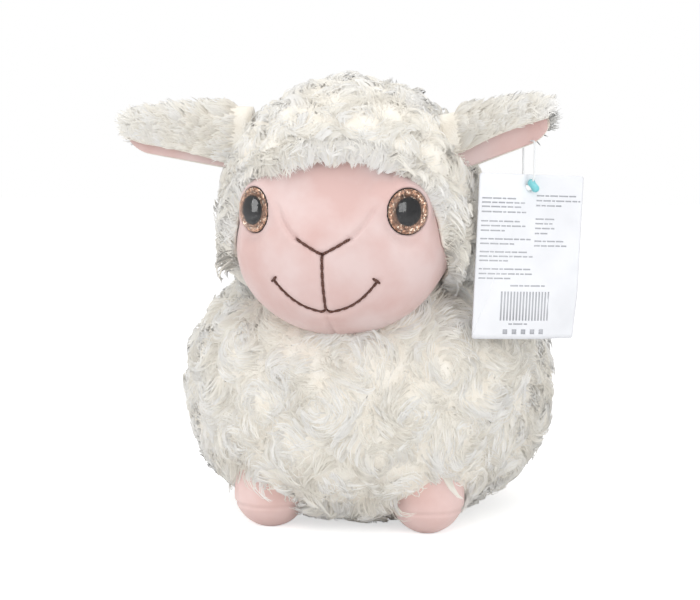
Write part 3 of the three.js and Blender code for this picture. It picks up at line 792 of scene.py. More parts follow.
# The feet's velour is the face's pink made lighter, as painted light against the shade under the body.
LIGHTENED_FEET_VELOUR = replace(VELOUR, name="Pink velour, lightened feet", low=(0.75, 0.52, 0.48), high=(0.84, 0.64, 0.61))
THREAD = ThreadFinish(
    "Brown thread", (0.05, 0.02, 0.015), (0.17, 0.075, 0.055), relief=0.8, roughness=0.6, shine=0.3
)
GLITTER = GlitterFinish(
    "Bronze glitter", (0.05, 0.022, 0.014), (0.30, 0.15, 0.09),
    relief=0.6, depth=0.0002, roughness=0.4, metallic=0.5, shine=0.2,
)
EYE_BLACK = Finish(
    "Black eye plastic", (0.006, 0.006, 0.007), (0.012, 0.012, 0.014),
    fine=900.0, relief=0.02, depth=0.0001, roughness=0.25,
)
PUPIL_BLACK = Finish(
    "Black eye paint", (0.004, 0.004, 0.005), (0.008, 0.008, 0.01),
    fine=900.0, relief=0.02, depth=0.0001, roughness=0.6, shine=0.0,
)
EYE_CLEAR = ClearFinish("Clear eye plastic", (1, 1, 1), (1.0, 1.0, 1.0), roughness=0.02, shine=0.2)
WASHER_PLASTIC = Finish("Washer plastic", (0.72, 0.72, 0.70), (0.8, 0.8, 0.78), relief=0.1, roughness=0.45)
NYLON = Finish("Nylon loop", (0.78, 0.80, 0.81), (0.88, 0.9, 0.9), relief=0.05, roughness=0.3)
LOCK = Finish("Teal lock", (0.17, 0.55, 0.60), (0.24, 0.64, 0.68), coarse=300.0, relief=0.05, roughness=0.32)
CARD = Finish(
    "Tag card", (0.76, 0.77, 0.80), (0.81, 0.82, 0.85),
    coarse=50.0, fine=4000.0, relief=0.06, depth=0.0001, roughness=0.5, coat=0.15,
)
PRINT = Finish("Tag print", (0.40, 0.41, 0.44), (0.50, 0.51, 0.54), fine=5000.0, relief=0.05, roughness=0.6)


@dataclass(frozen=True)
class Zone:
    """A round space that strands are pushed out of, such as where a foot swings."""

    middle: Array
    radius: float

    def holds(self, points: Array) -> Array:
        """Whether points are inside."""
        return np.linalg.norm(points - self.middle, axis=-1) < self.radius

    def __call__(self, points: Array) -> Array:
        """Points inside are moved straight out from the middle to the round space's skin."""
        away = points - self.middle
        gap = np.linalg.norm(away, axis=-1, keepdims=True)
        return np.where(gap < self.radius, self.middle + away / np.maximum(gap, 1e-6) * self.radius, points)


@dataclass(frozen=True)
class Floor:
    """The plane that the toy stands on, which strands lie above."""

    height: float = 0.6

    def __call__(self, points: Array) -> Array:
        """Points below the height are lifted to it."""
        lifted = points.copy()
        lifted[..., 2] = np.maximum(lifted[..., 2], self.height)
        return lifted


@dataclass(frozen=True)
class Slab:
    """A flat piece that strands stay behind, such as a card."""

    middle: Array
    across: Array
    upward: Array
    half_width: float
    half_height: float
    behind: float

    def __call__(self, points: Array) -> Array:
        """Points within the outline that lie in front of its back are moved behind it."""
        away = points - self.middle
        outward = np.cross(self.across, self.upward)
        beside = np.abs(away @ self.across) < self.half_width
        level = np.abs(away @ self.upward) < self.half_height
        excess = np.where(beside & level, np.maximum(away @ outward + self.behind, 0), 0)
        return points - excess[..., None] * outward


@dataclass
class Strands:
    """Strands of fleece.

    Each has the points of its path, the way out of the coat at its root, its tone, and for each
    point how far it leans out of its tuft's middle, as a share of the tuft's radius.
    """

    paths: Array
    ups: Array
    tones: Array
    leans: Array

    def joined(self, other: "Strands") -> "Strands":
        """These strands and some others."""
        names = ("paths", "ups", "tones", "leans")
        return Strands(*(np.concatenate([getattr(self, name), getattr(other, name)]) for name in names))

    def part(self, chosen: Array) -> "Strands":
        """The chosen strands."""
        return Strands(self.paths[chosen], self.ups[chosen], self.tones[chosen], self.leans[chosen])

    def moved(self, movers: Sequence[Mover]) -> "Strands":
        """The same strands with their points pushed out of some spaces."""
        paths = self.paths
        for mover in movers:
            paths = mover(paths)
        return replace(self, paths=paths)

    def shape(self, radius: float) -> Shape:
        """Three-sided strands that taper to a point.

        A ring of three points stands about each path point but the last, its radius a share of
        the given one.

        Args:
            radius: Widest radius of a strand.

        Returns:
            All the strands, mapped by the place along the strand and by its tone.
        """
        count = len(self.paths)
        rings = len(STEPS) - 1
        ahead = unit(np.gradient(self.paths, axis=1))[:, :rings]
        aside = unit(np.cross(self.ups[:, None], ahead))
        above = np.cross(ahead, aside)
        turn = np.pi / 2 + full_turn(STRAND_SIDES)
        size = radius * THICKNESS[None, :, None, None]
        offsets = aside[:, :, None] * np.cos(turn)[:, None] + 0.75 * above[:, :, None] * np.sin(turn)[:, None]
        skins = self.paths[:, :rings, None] + size * offsets
        ups = unit(self.ups * np.where(self.ups[:, 2:] < 0, [1.0, 1.0, 0.4], 1.0))
        soft = ups[:, None] + LOCK_ROUNDNESS * self.leans
        shown = unit(OWN_ROUNDNESS * unit(offsets) + soft[:, :rings, None]).reshape(count, -1, 3)
        normals = np.concatenate([shown, unit(soft[:, -1:])], axis=1).reshape(-1, 3)
        points = np.concatenate([skins.reshape(count, -1, 3), self.paths[:, -1:]], axis=1)
        each = rings * STRAND_SIDES + 1
        grid = np.arange(rings * STRAND_SIDES).reshape(rings, STRAND_SIDES)
        beside = np.roll(grid, -1, axis=1)
        quads = np.stack([grid[:-1], beside[:-1], beside[1:], grid[1:]], -1).reshape(-1, 4)
        tips = np.stack([grid[-1], beside[-1], np.full(STRAND_SIDES, each - 1)], -1)
        caps = np.concatenate([tips, grid[:1, ::-1]])
        starts = (np.arange(count) * each)[:, None, None]
        along = np.append(np.repeat(STEPS[:rings], STRAND_SIDES), 1.0)
        corners = []
        for part in (quads, caps):
            place = np.tile(along[part.ravel()], count)
            tone = np.repeat(self.tones, part.size)
            corners.append(np.stack([place, tone], -1))
        faces = [(part[None] + starts).reshape(-1, part.shape[1]) for part in (quads, caps)]
        return Shape(points.reshape(-1, 3), faces, np.concatenate(corners), normals)


def arcs(root: Array, up: Array, heading: Array, turn: Array, travel: Array) -> Array:
    """Paths that run over a flat surface on round arcs.

    Along its heading a point lies at the travel times the sine of its turn over the whole turn,
    and beside it at the travel times one less the cosine over the whole turn.

    Args:
        root: Where each path starts.
        up: The surface's normal there.
        heading: The unit direction of its start.
        turn: Its whole turn to the left, in radians.
        travel: Its length.

    Returns:
        The points of each path, at a strand's steps.
    """
    whole = np.where(np.abs(turn) < 1e-3, 1e-3, turn)[:, None]
    ahead = travel[:, None] * np.sin(whole * STEPS) / whole
    aside = travel[:, None] * (1 - np.cos(whole * STEPS)) / whole
    left = np.cross(up, heading)
    return root[:, None] + heading[:, None] * ahead[..., None] + left[:, None] * aside[..., None]


def scattered(form: Form, count: int, grow: float, rng: Chance) -> Array:
    """Directions whose points on a form's skin lie about evenly.

    Directions on a golden-angle spiral are thinned, so that each patch of skin keeps as many as
    its area asks for: the reach squared over the cosine between direction and normal.

    Args:
        form: The form.
        count: How many directions to keep.
        grow: How far the form is grown.
        rng: Source of the small random shifts.

    Returns:
        The directions, one a row.
    """
    many = 5 * count
    height = 1 - 2 * (np.arange(many) + 0.5) / many
    turn = GOLDEN * np.arange(many)
    level = np.sqrt(1 - height**2)
    rays = np.stack([level * np.cos(turn), level * np.sin(turn), height], -1)
    rays = unit(rays + rng.normal(0, 0.5 / math.sqrt(count), rays.shape))
    facing = np.maximum((rays * form.normal(rays, grow)).sum(-1), 0.2)
    total = np.cumsum(form.reach(rays, grow) ** 2 / facing)
    place = np.floor(total / total[-1] * count)
    return rays[np.diff(place, prepend=-1) > 0]


@dataclass(frozen=True)
class Fleece:
    """Swirled fleece: strands that wind round swirls, rise and lie over, and gather in tufts."""

    tuft: float = 5.8  # distance between tufts
    base: float = -6.0  # where the strands stand, outside the form
    height: float = 8.0
    travel: float = 11.0
    radius: float = 0.4
    gather: float = 0.8  # share by which a tuft's tips come together
    hang: float = 0.3  # how much strands bend downwards
    under: float = 0.3  # share of short strands that lie under the others
    stray: float = 5.0  # how far a swirl's middle lies from its top
    inward: tuple[float, float] = (-0.35, 0.7)  # how much strands head for their swirl's middle
    waver: float = 3.6  # how much neighbouring strands head out of their swirl or into it
    most_turn: float = 1.8  # how far a strand turns at most, in radians
    uneven: float = 0.12  # share by which heights differ
    seed: int = SEED

    def paths(self, form: Form, rays: Array, rng: Chance, middles: Array) -> tuple[Array, Array]:
        """Paths of strands from some roots, each round the nearest swirl.

        Args:
            form: The form that the coat covers.
            rays: Directions of the roots.
            rng: Source of small differences.
            middles: The swirls' middles.

        Returns:
            The paths, and the normals at the roots.
        """
        chance = np.random.default_rng(self.seed + 2)
        spin = chance.choice([-1.0, 1.0], len(middles))
        inward = chance.uniform(*self.inward, len(middles))
        root = form.skin(rays, self.base)
        up = form.normal(rays, self.base)
        index, gap = nearest(root, middles)
        inner = along_skin(middles[index] - root, up)
        around = np.cross(up, inner) * spin[index, None]
        down = np.array([0.0, 0.0, -1.0]) + up * up[:, 2:]
        waver = self.waver * (CLOUDS.at(root, 9.0) - 0.5)[:, None]
        heading = around + (inward[index, None] + waver) * inner + self.hang * down
        travel = self.travel * rng.uniform(0.75, 1.2, len(root))
        turn = -spin[index] * np.minimum(travel / np.maximum(gap, 3.5), self.most_turn)
        return self.laid(form, rays, heading, turn, travel, rng), up

    def laid(
        self, form: Form, rays: Array, heading: Array, turn: Array, travel: Array, rng: Chance
    ) -> Array:
        """Strands laid over a form: they rise from their roots, then lie over and dip at the tip.

        Args:
            form: The form that the coat covers.
            rays: Directions of the roots.
            heading: The way in which each strand starts.
            turn: How far each turns to the left, in radians.
            travel: How far each goes.
            rng: Source of small differences.

        Returns:
            The paths.
        """
        count = len(rays)
        root = form.skin(rays, self.base)
        up = form.normal(rays, self.base)
        heading = unit(heading) + rng.normal(0, 0.16, heading.shape)
        heading = along_skin(heading, up)
        toward = form.toward(arcs(root, up, heading, turn, travel))
        rise = np.tile(RISE, (count, 1))
        rise[:, -1] += rng.normal(0, 0.09, count)
        rise *= rng.uniform(1 - self.uneven, 1 + self.uneven, (count, 1))
        return form.skin(toward, self.base) + form.normal(toward, self.base) * (self.height * rise)[..., None]

    def grown(self, form: Quilted, count: int, area: float, accept: Callable[[Array], Array]) -> Strands:
        """Strands all over a form.

        Args:
            form: The form that the coat covers.
            count: How many strands the whole form would have.
            area: The form's area in square millimetres.
            accept: Tells which roots have strands.

        Returns:
            The strands.
        """
        rng = np.random.default_rng(self.seed)
        middles = form.skin(form.quilt.tops(), self.base)
        middles = middles + rng.normal(0, self.stray, middles.shape)
        tuft_rays = scattered(form, int(area / self.tuft**2), self.base, rng)
        shaggy = replace(self, height=1.08 * self.height, uneven=2.2 * self.uneven)
        tuft_paths, _ = shaggy.paths(form, tuft_rays, rng, middles)
        rays = scattered(form, count, self.base, rng)
        rays = rays[accept(form.skin(rays, 0.0))]
        own, up = self.paths(form, rays, rng, middles)
        lower = rng.random(len(own)) < self.under
        hollow = form.quilt.dip(rays[~lower]) / form.quilt.depth
        strands = self.gathered(own[~lower], up[~lower], tuft_paths, rng, hollow)
        return strands.joined(self.undercoat(form, rays[lower], rng))

    def undercoat(self, form: Form, rays: Array, rng: Chance) -> Strands:
        """Short strands that lie every way under the others.

        Args:
            form: The form that the coat covers.
            rays: Directions of the roots.
            rng: Source of the strands' ways.

        Returns:
            The strands.
        """
        count = len(rays)
        heading = rng.normal(0, 1, rays.shape)
        low = replace(self, height=0.8 * self.height)
        turn = rng.normal(0, 0.8, count)
        travel = self.travel * rng.uniform(0.35, 0.6, count)
        paths = low.laid(form, rays, heading, turn, travel, rng)
        tone = 0.35 + 0.6 * CLOUDS.at(paths[:, 0], TONE_PATCH) + rng.normal(0, 0.08, count)
        return Strands(paths, form.normal(rays, self.base), np.clip(tone, 0.02, 0.98), 0 * paths)

    def gathered(
        self, own: Array, up: Array, tuft_paths: Array, rng: Chance, hollow: Array | float = 0.5
    ) -> Strands:
        """Strands drawn towards the strand in the middle of their tuft.

        Args:
            own: The strands' own paths.
            up: Normals at their roots.
            tuft_paths: Paths of the tufts' middle strands.
            rng: Source of the differences between tufts.
            hollow: How deep in a hollow each strand stands, from 0 to 1, which turns its tone towards painted
                shade.

        Returns:
            The gathered strands with their tones.
        """
        index, _ = nearest(own[:, 0], tuft_paths[:, 0])
        share = self.gather * rng.uniform(0.65, 1.15, len(tuft_paths))[index]
        share = np.where(rng.random(len(own)) < 0.1, 0.25 * share, np.minimum(share, 0.95))
        pull = share[:, None] * STEPS**1.3
        away = own - tuft_paths[index]
        paths = own - away * pull[..., None]
        leans = away / (0.5 * self.tuft)
        leans = leans / np.maximum(np.linalg.norm(leans, axis=-1, keepdims=True), 1)
        tone = 0.55 * CLOUDS.at(own[:, 0], TONE_PATCH) + 0.38 * rng.random(len(tuft_paths))[index]
        # Strands deeper in a hollow take a tone towards the painted crease shade.
        tone += 0.07 * rng.random(len(own)) + 0.3 * (hollow - 0.5)
        return Strands(paths, up, np.clip((tone - 0.2) / 0.6, 0.02, 0.98), leans)

    def dress(self, name: str, strands: Strands, body: str) -> None:
        """Adds strands as pieces of a limited size, each a sector about the upright line.

        Args:
            name: The pieces' name, before their number.
            strands: The strands.
            body: Their body.
        """
        root = strands.paths[:, 0]
        order = np.argsort(np.arctan2(root[:, 1] - root[:, 1].mean(), root[:, 0] - root[:, 0].mean()))
        parts = np.array_split(order, math.ceil(len(order) / PIECE_STRANDS))
        for number, part in enumerate(parts, 1):
            title = name if len(parts) == 1 else f"{name}_{number}"
            shape = strands.part(part).shape(self.radius)
            add_piece(title, shape, FLEECE_STRANDS, body)


BODY = Egg(np.array([0.0, 0.0, 74.0]), 104.5, 112.0, 75.0, 74.5, 2.25, 2.7)
COAT = Quilted(BODY, Quilt(axis=2, around=16, rows=14, fade_start=-0.35, fade_end=-0.75))
HEAD = HeadForm(np.array([0.0, -56.0, 174.0]))
HOOD = Quilted(HEAD, Quilt(axis=1, around=12, rows=12))


@dataclass(frozen=True)
class FaceOutline:
    """The face panel seen from the front, about the head's middle."""

    half_width: float = 54.0
    top: float = 27.0
    widest: float = -21.0
    bottom: float = -80.0
    fullness: float = 2.5
    edge: float = 0.94  # share that strands are pushed out to

    def share(self, points: Array) -> Array:
        """How far out points lie, with 1 on the outline: the power mean of their two shares."""
        x = (points[..., 0] - HEAD.middle[0]) / self.half_width
        z = points[..., 2] - HEAD.middle[2] - self.widest
        z = z / np.where(z > 0, self.top - self.widest, self.widest - self.bottom)
        return (np.abs(x) ** self.fullness + np.abs(z) ** self.fullness) ** (1 / self.fullness)

    def covers(self, points: Array) -> Array:
        """Whether points lie on the face, in front of the head's middle."""
        return (self.share(points) < 1) & (points[..., 1] < HEAD.middle[1])

    def push(self, points: Array) -> Array:
        """Points on the face are moved out to near its edge, away from the outline's middle."""
        share = self.share(points)
        scale = np.where(self.covers(points) & (share < self.edge), self.edge / np.maximum(share, 0.3), 1.0)
        middle = HEAD.middle + np.array([0, 0, self.widest])
        moved = points.copy()
        moved[..., 0] = middle[0] + (points[..., 0] - middle[0]) * scale
        moved[..., 2] = middle[2] + (points[..., 2] - middle[2]) * scale
        return moved


FACE = FaceOutline()


@dataclass
class Coat:
    """The body: a stuffed bag of backing cloth, with swirled fleece all over it."""

    fleece: Fleece = field(default_factory=Fleece)
    strands: int = 47000
    area: float = 118000.0
    rings: int = 150
    around: int = 260

    def build(self, feet: Sequence["Foot"], movers: Sequence[Mover]) -> None:
        """Adds the stuffed body and its fleece.

        Args:
            feet: The feet, which the fleece makes room for.
            movers: Further spaces that the strands are pushed out of.
        """
        self.stuffed_body()
        zones = [foot.zone() for foot in feet]

        def accept(points: Array) -> Array:
            """Roots outside the head and the feet."""
            free = ~HEAD.inside(points, -2.0)
            for zone in zones:
                free &= ~zone.holds(points)
            return free & (points[..., 2] > 1.0)

        strands = self.fleece.grown(COAT, self.strands, self.area, accept)
        strands = strands.moved([*zones, *movers, Floor()])
        self.fleece.dress("coat_locks", strands, "torso")

    def stuffed_body(self) -> None:
        """The body's skin: the form less the pile, raised under each swirl and flat on the floor."""
        rays = ball_rays(self.rings, self.around)
        points = Floor(1.5)(COAT.skin(rays, self.fleece.base + 0.5 * self.fleece.height))
        shape = Shape(points, ball_faces(self.rings, self.around))
        nodes = ("body_panel_left", "body_panel_right", "belly_panel", "body_filling")
        piece = add_piece("stuffed_body", shape, SHADED_FLEECE_BACKING, "torso", nodes)


@dataclass
class Hood:
    """The fleece round the head: backing from the face's edge to the nape, and its strands."""

    fleece: Fleece = field(
        default_factory=lambda: Fleece(base=5.0, height=7.8, travel=9.5, hang=0.35, seed=SEED + 10)
    )
    strands: int = 26000
    fringe_strands: int = 4600
    overhang: float = 3.6
    more_right: float = 4.0  # overhang that is added on the sheep's right
    area: float = 66000.0
    around: int = 180
    rings: int = 60
    liner: float = 0.4  # how far the backing's inside stands over the head
    overlap: float = -14.0  # how deep in the body its strands still grow

    def slope(self, share: Array) -> Array:
        """Share of its height that the backing has, for a share of the way from the edge to the nape."""
        return ease(0.3 + share * 10)

    def edge(self, turn: Array) -> Array:
        """Polar angle of the face's edge for each turn about the line through the nose.

        On each half plane through that line, it is the first angle at which the skin's front view
        leaves the face's outline, or 100 degrees where it never does.

        Args:
            turn: Angles about the line, from the sheep's left towards the crown.

        Returns:
            The polar angles from straight ahead, in radians.
        """
        polar = np.radians(np.linspace(0, 100, 401))
        a, b = np.meshgrid(turn, polar, indexing="ij")
        outside = FACE.share(HEAD.skin(aimed(b, a), 0.0)) >= 1
        first = np.where(outside.any(1), outside.argmax(1), len(polar) - 1)
        smooth = np.pad(polar[first], 6, mode="wrap")
        return np.convolve(smooth, np.ones(13) / 13, mode="valid")

    def build(self, movers: Sequence[Mover]) -> None:
        """Adds the backing and the strands.

        Args:
            movers: Spaces that the strands are pushed out of.
        """
        turn = full_turn(self.around)
        edge = self.edge(turn)
        share = np.linspace(0, 1, self.rings, endpoint=False)
        polar = edge[None] + (np.pi - edge[None]) * share[:, None]
        rays = aimed(polar, turn).reshape(-1, 3)
        top = self.fleece.base + 0.5 * self.fleece.height
        rim = np.repeat(self.slope(share), self.around)
        inner = HEAD.skin(rays, self.liner)
        outer = inner + (HOOD.skin(rays, top) - inner) * rim[:, None]
        back = np.array([[0.0, 1.0, 0.0]])
        inside_first = inner.reshape(self.rings, self.around, 3)[::-1].reshape(-1, 3)
        points = np.concatenate([HEAD.skin(back, self.liner), inside_first, outer, HOOD.skin(back, top)])
        shape = Shape(points, ball_faces(2 * self.rings, self.around)).flipped()
        nodes = ("hood_left", "hood_right")
        add_piece("hood_backing", shape, SHADED_FLEECE_BACKING, "torso", nodes)

        def accept(points: Array) -> Array:
            """Roots off the face and outside the body."""
            plain = HEAD.skin(HEAD.toward(points))
            return ~FACE.covers(plain) & ~BODY.inside(points, self.overlap)

        strands = self.fleece.grown(HOOD, self.strands, self.area, accept)
        strands = strands.moved([FACE.push]).joined(self.fringe(edge))
        self.fleece.dress("hood_locks", strands.moved(movers), "torso")

    def fringe(self, edge: Array) -> Strands:
        """Strands that curl over the hood's edge onto the face, gathered in tufts.

        Args:
            edge: Polar angle of the edge for even turns.

        Returns:
            The strands.
        """
        rng = np.random.default_rng(self.fleece.seed + 5)

        def rooted(count: int) -> tuple[Array, Array]:
            """Strands rooted by chance on the backing's slope beside the edge.

            Args:
                count: How many are tried.

            Returns:
                Their paths and the normals at their roots.
            """
            turn = rng.uniform(0, 2 * np.pi, count)
            place = np.linspace(0, 2 * np.pi, self.around + 1)
            start = np.interp(turn, place, np.append(edge, edge[0]))
            back = rng.uniform(0, 0.16, count)
            polar = start + back
            rays = aimed(polar, turn)
            level = np.cos(polar)
            inward = -np.stack([level * np.cos(turn), np.sin(polar), level * np.sin(turn)], -1)
            kept = ~BODY.inside(HEAD.skin(rays, 0.0), self.overlap)
            rays, inward, back, start = rays[kept], inward[kept], back[kept], start[kept]
            root, up = HEAD.skin(rays, 0.0), HEAD.normal(rays)
            sideways = np.cross(rays, inward) * (4.2 * (CLOUDS.at(root, 10.0) - 0.5))[:, None]
            over = self.overhang + self.more_right * ease(-np.cos(turn[kept]) * 1.4)
            travel = over * rng.uniform(0.3, 1.7, len(root)) + 62 * back
            heading = unit(inward + sideways + rng.normal(0, 0.6, inward.shape) - [0, 0, self.fleece.hang])
            heading = along_skin(heading, up)
            toward = HEAD.toward(arcs(root, up, heading, rng.normal(0, 1.5, len(root)), travel))
            slope = self.slope(back / (np.pi - start))
            low = slope * (self.fleece.base + 0.5 * self.fleece.height)
            peak = low + rng.uniform(1.2, 3.4, len(root))
            tip = rng.uniform(0.8, 3.2, len(root))
            heights = np.stack([low, peak, 0.75 * peak + 0.25 * tip, 0.4 * peak + 0.6 * tip, tip], -1)
            paths = HEAD.skin(toward, 0.0) + HEAD.normal(toward) * heights[..., None]
            return paths, unit(up + 0.8 * inward)

        tuft_paths, _ = rooted(self.fringe_strands // 12)
        own, up = rooted(self.fringe_strands)
        return self.fleece.gathered(own, up, tuft_paths, rng)


@dataclass(frozen=True)
class Seam:
    """A line seen from the front about the head's middle, along which the cloth is drawn in."""

    line: Array
    width: float
    depth: float
    swell: float = 0.0

    def height(self, x: Array, z: Array) -> Array:
        """Height of the cloth: a groove by the bell curve of the gap, and a swell beside it.

        Args:
            x: Places across.
            z: Places up.

        Returns:
            The height at each place.
        """
        _, gap = nearest(np.stack([x, z, 0 * x], -1), np.pad(self.line, ((0, 0), (0, 1))))
        groove = -self.depth * np.exp(-((gap / self.width) ** 2))
        return groove + self.swell * np.exp(-(((gap - 3 * self.width) / (2 * self.width)) ** 2))


def curve(start: Sequence[float], bend: Sequence[float], end: Sequence[float], steps: int = 60) -> Array:
    """Points of a quadratic curve: the three points mixed by one less t squared, twice t and t squared."""
    t = np.linspace(0, 1, steps)[:, None]
    return (1 - t) ** 2 * np.array(start) + 2 * t * (1 - t) * np.array(bend) + t**2 * np.array(end)


@dataclass
class Face:
    """The stuffed head in velour: forehead and cheek panels, and the stitched nose and mouth."""

    brow: float = 30.0
    nose_half: float = 14.0
    nose_corner: float = -10.0
    nose_tip: float = -18.0
    mouth_half: float = 27.0
    mouth_end: float = -32.0
    mouth_middle: float = -48.0
    chin_end: float = -75.0
    tick: float = 4.0
    thread: float = 0.68
    stitch: float = 4.2
    rings: int = 230
    around: int = 360

    def forehead(self, side: Side) -> Array:
        """Seam from the nose's corner up beside the forehead to the hood."""
        top = FACE.top + 11
        bend = self.nose_corner + (FACE.top - self.nose_corner) / 3
        sign = side.value
        start = (sign * self.nose_half, self.nose_corner)
        return curve(start, (sign * self.brow, bend), (sign * self.brow, top))

    def nose(self, side: Side) -> Array:
        """Line from the nose's corner down to its tip."""
        start = (side.value * self.nose_half, self.nose_corner)
        end = (0.0, self.nose_tip)
        bend = (side.value * 0.45 * self.nose_half, 0.62 * self.nose_tip + 0.38 * self.nose_corner)
        return curve(start, bend, end, 24)

    def lip(self) -> Array:
        """Line from the nose's tip down to the mouth."""
        return curve((0.0, self.nose_tip), (0.0, -33.0), (0.0, self.mouth_middle), 30)

    def mouth(self) -> Array:
        """The mouth, from end to end: its height over its middle grows by a power of its width."""
        share = np.linspace(-1, 1, 80)
        rise = self.mouth_end - self.mouth_middle
        return np.stack([self.mouth_half * share, self.mouth_middle + rise * np.abs(share) ** 2.3], -1)

    def ticks(self) -> list[Array]:
        """The short stitch across each end of the mouth."""
        lines = []
        for side in Side:
            end = np.array([side.value * self.mouth_half, self.mouth_end])
            way = np.array([side.value * -0.75, 0.66]) * self.tick
            lines.append(np.linspace(end - 0.35 * way, end + 0.75 * way, 8))
        return lines

    def height(self, points: Array) -> Array:
        """Height of the velour over the plain form, from its seams, its stitches and its softness.

        Args:
            points: Points of the plain form.

        Returns:
            The height at each point.
        """
        x = points[:, 0] - HEAD.middle[0]
        z = points[:, 2] - HEAD.middle[2]
        seams = [Seam(self.forehead(side), 1.1, 1.3, 0.35) for side in Side]
        seams += [Seam(self.nose(side), 1.2, 1.0) for side in Side]
        seams += [Seam(self.lip(), 1.1, 1.0, 0.25), Seam(self.mouth(), 1.2, 1.0, 0.3)]
        chin = np.linspace([0.0, self.mouth_middle], [0.0, self.chin_end], 30)
        seams.append(Seam(chin, 1.0, 0.7, 0.15))
        total = sum(seam.height(x, z) for seam in seams)
        total = total + 0.7 * (CLOUDS.at(points, 17.0) - 0.5)
        return np.where(points[:, 1] < HEAD.middle[1], total, 0)

    def skin(self, rays: Array) -> Array:
        """Points of the finished velour: the form with its seams, drawn in under the eyes."""
        plain = HEAD.skin(rays)
        raised = plain + HEAD.normal(rays) * self.height(plain)[:, None]
        for side in Side:
            raised = EyeSocket(side).pressed(raised)
        return raised

    def on_skin(self, line: Array, over: float) -> tuple[Array, Array]:
        """A front-view line laid on the velour, by a search for the skin straight behind it.

        Args:
            line: Rows of x and z about the head's middle.
            over: Height over the velour.

        Returns:
            The points on the skin, and the normals there.
        """
        low = np.full(len(line), -20.0)
        high = np.full(len(line), 120.0)
        for _ in range(40):
            middle = (low + high) / 2
            points = HEAD.middle + np.stack([line[:, 0], -middle, line[:, 1]], -1)
            inside = HEAD.inside(points)
            low = np.where(inside, middle, low)
            high = np.where(inside, high, middle)
        rays = HEAD.toward(HEAD.middle + np.stack([line[:, 0], -low, line[:, 1]], -1))
        normal = HEAD.normal(rays)
        return self.skin(rays) + normal * over, normal

    def stitches(self, line: Array) -> list[Shape]:
        """Back stitches along a line: each dips into the velour at both ends.

        Args:
            line: Rows of x and z about the head's middle.

        Returns:
            One thread for each stitch.
        """
        length = travelled(line)
        count = max(1, round(length[-1] / self.stitch))
        shapes = []
        for number in range(count):
            place = np.linspace(number - 0.06, number + 1.06, 12) / count * length[-1]
            stretch = np.stack([np.interp(place, length, line[:, axis]) for axis in (0, 1)], -1)
            points, normal = self.on_skin(stretch, 0.0)
            arch = np.sin(np.linspace(0, np.pi, len(points)))
            points = points + normal * (0.15 + 0.55 * arch**0.6 - 0.25)[:, None]
            radii = self.thread * (0.6 + 0.5 * arch**0.5)
            shapes.append(tube(points, radii, 8, normal))
        return shapes

    def build(self) -> None:
        """Adds the stuffed head and its threads."""
        rays = turned(ball_rays(self.rings, self.around, 1.25))
        shape = Shape(self.skin(rays), ball_faces(self.rings, self.around))
        nodes = ("face_forehead", "face_cheek_left", "face_cheek_right", "head_filling")
        piece = add_piece("stuffed_head", shape, VELOUR, "torso", nodes)
        groups = {
            "nose_stitches": [self.nose(side) for side in Side],
            "lip_stitches": [self.lip()],
            "mouth_stitches": [self.mouth(), *self.ticks()],
        }
        for name, lines in groups.items():
            shapes = [shape for line in lines for shape in self.stitches(line)]
            add_piece(name, joined(shapes), THREAD, "torso")


@dataclass(frozen=True)
class EyeSocket:
    """Where an eye sits in the velour, and which way it faces."""

    side: Side
    aside: float = 35.0  # angle of its place from straight ahead
    turn: float = 40.0  # angle of its own axis
    rise: float = 2.5
    sink: float = 1.5
    seat_radius: float = 11.2
    well: float = 0.05  # how far the cloth under the eye stands over its back
    collar: float = 2.9  # the same for the cloth round it
    collar_radius: float = 12.3
    spread: float = 5.0  # how far the collar reaches

    def seat(self) -> Array:
        """Middle of the eye's back, drawn into the velour."""
        angle = math.radians(self.aside)
        lift = self.rise / HEAD.radius
        way = unit(np.array([self.side.value * math.sin(angle), -math.cos(angle), lift]))
        return HEAD.middle + way * (HEAD.reach(way[None], 0.0)[0] - self.sink)

    def outward(self) -> Array:
        """The direction that the eye faces."""
        angle = math.radians(self.turn)
        return np.array([self.side.value * math.sin(angle), -math.cos(angle), 0.0])

    def pressed(self, points: Array) -> Array:
        """Cloth drawn in by the eye: a flat seat under its back, and a collar that swells round it.

        Under the eye the cloth lies at the seat's height. At the collar it lies at the collar's
        height, between the two it rises evenly, and outside it eases back to the plain form by
        the bell curve of the gap.

        Args:
            points: Points of the cloth.

        Returns:
            The points, moved along the eye's axis.
        """
        away = points - self.seat()
        depth = away @ self.outward()
        level = np.linalg.norm(away - depth[:, None] * self.outward(), axis=1)
        rise = np.clip((level - self.seat_radius) / (self.collar_radius - self.seat_radius), 0, 1)
        wanted = self.well + (self.collar - self.well) * rise
        outside = np.maximum(level - self.collar_radius, 0)
        near = np.exp(-((outside / self.spread) ** 2)) * (depth > -20)
        return points + ((wanted - depth) * near)[:, None] * self.outward()

    def placed(self, points: Array) -> Array:
        """Points about the eye's own axis, +Z outwards, set into the head."""
        outward = self.outward()
        across = np.cross(UP, outward)
        return self.seat() + points[:, :1] * across + points[:, 1:2] * UP + points[:, 2:] * outward


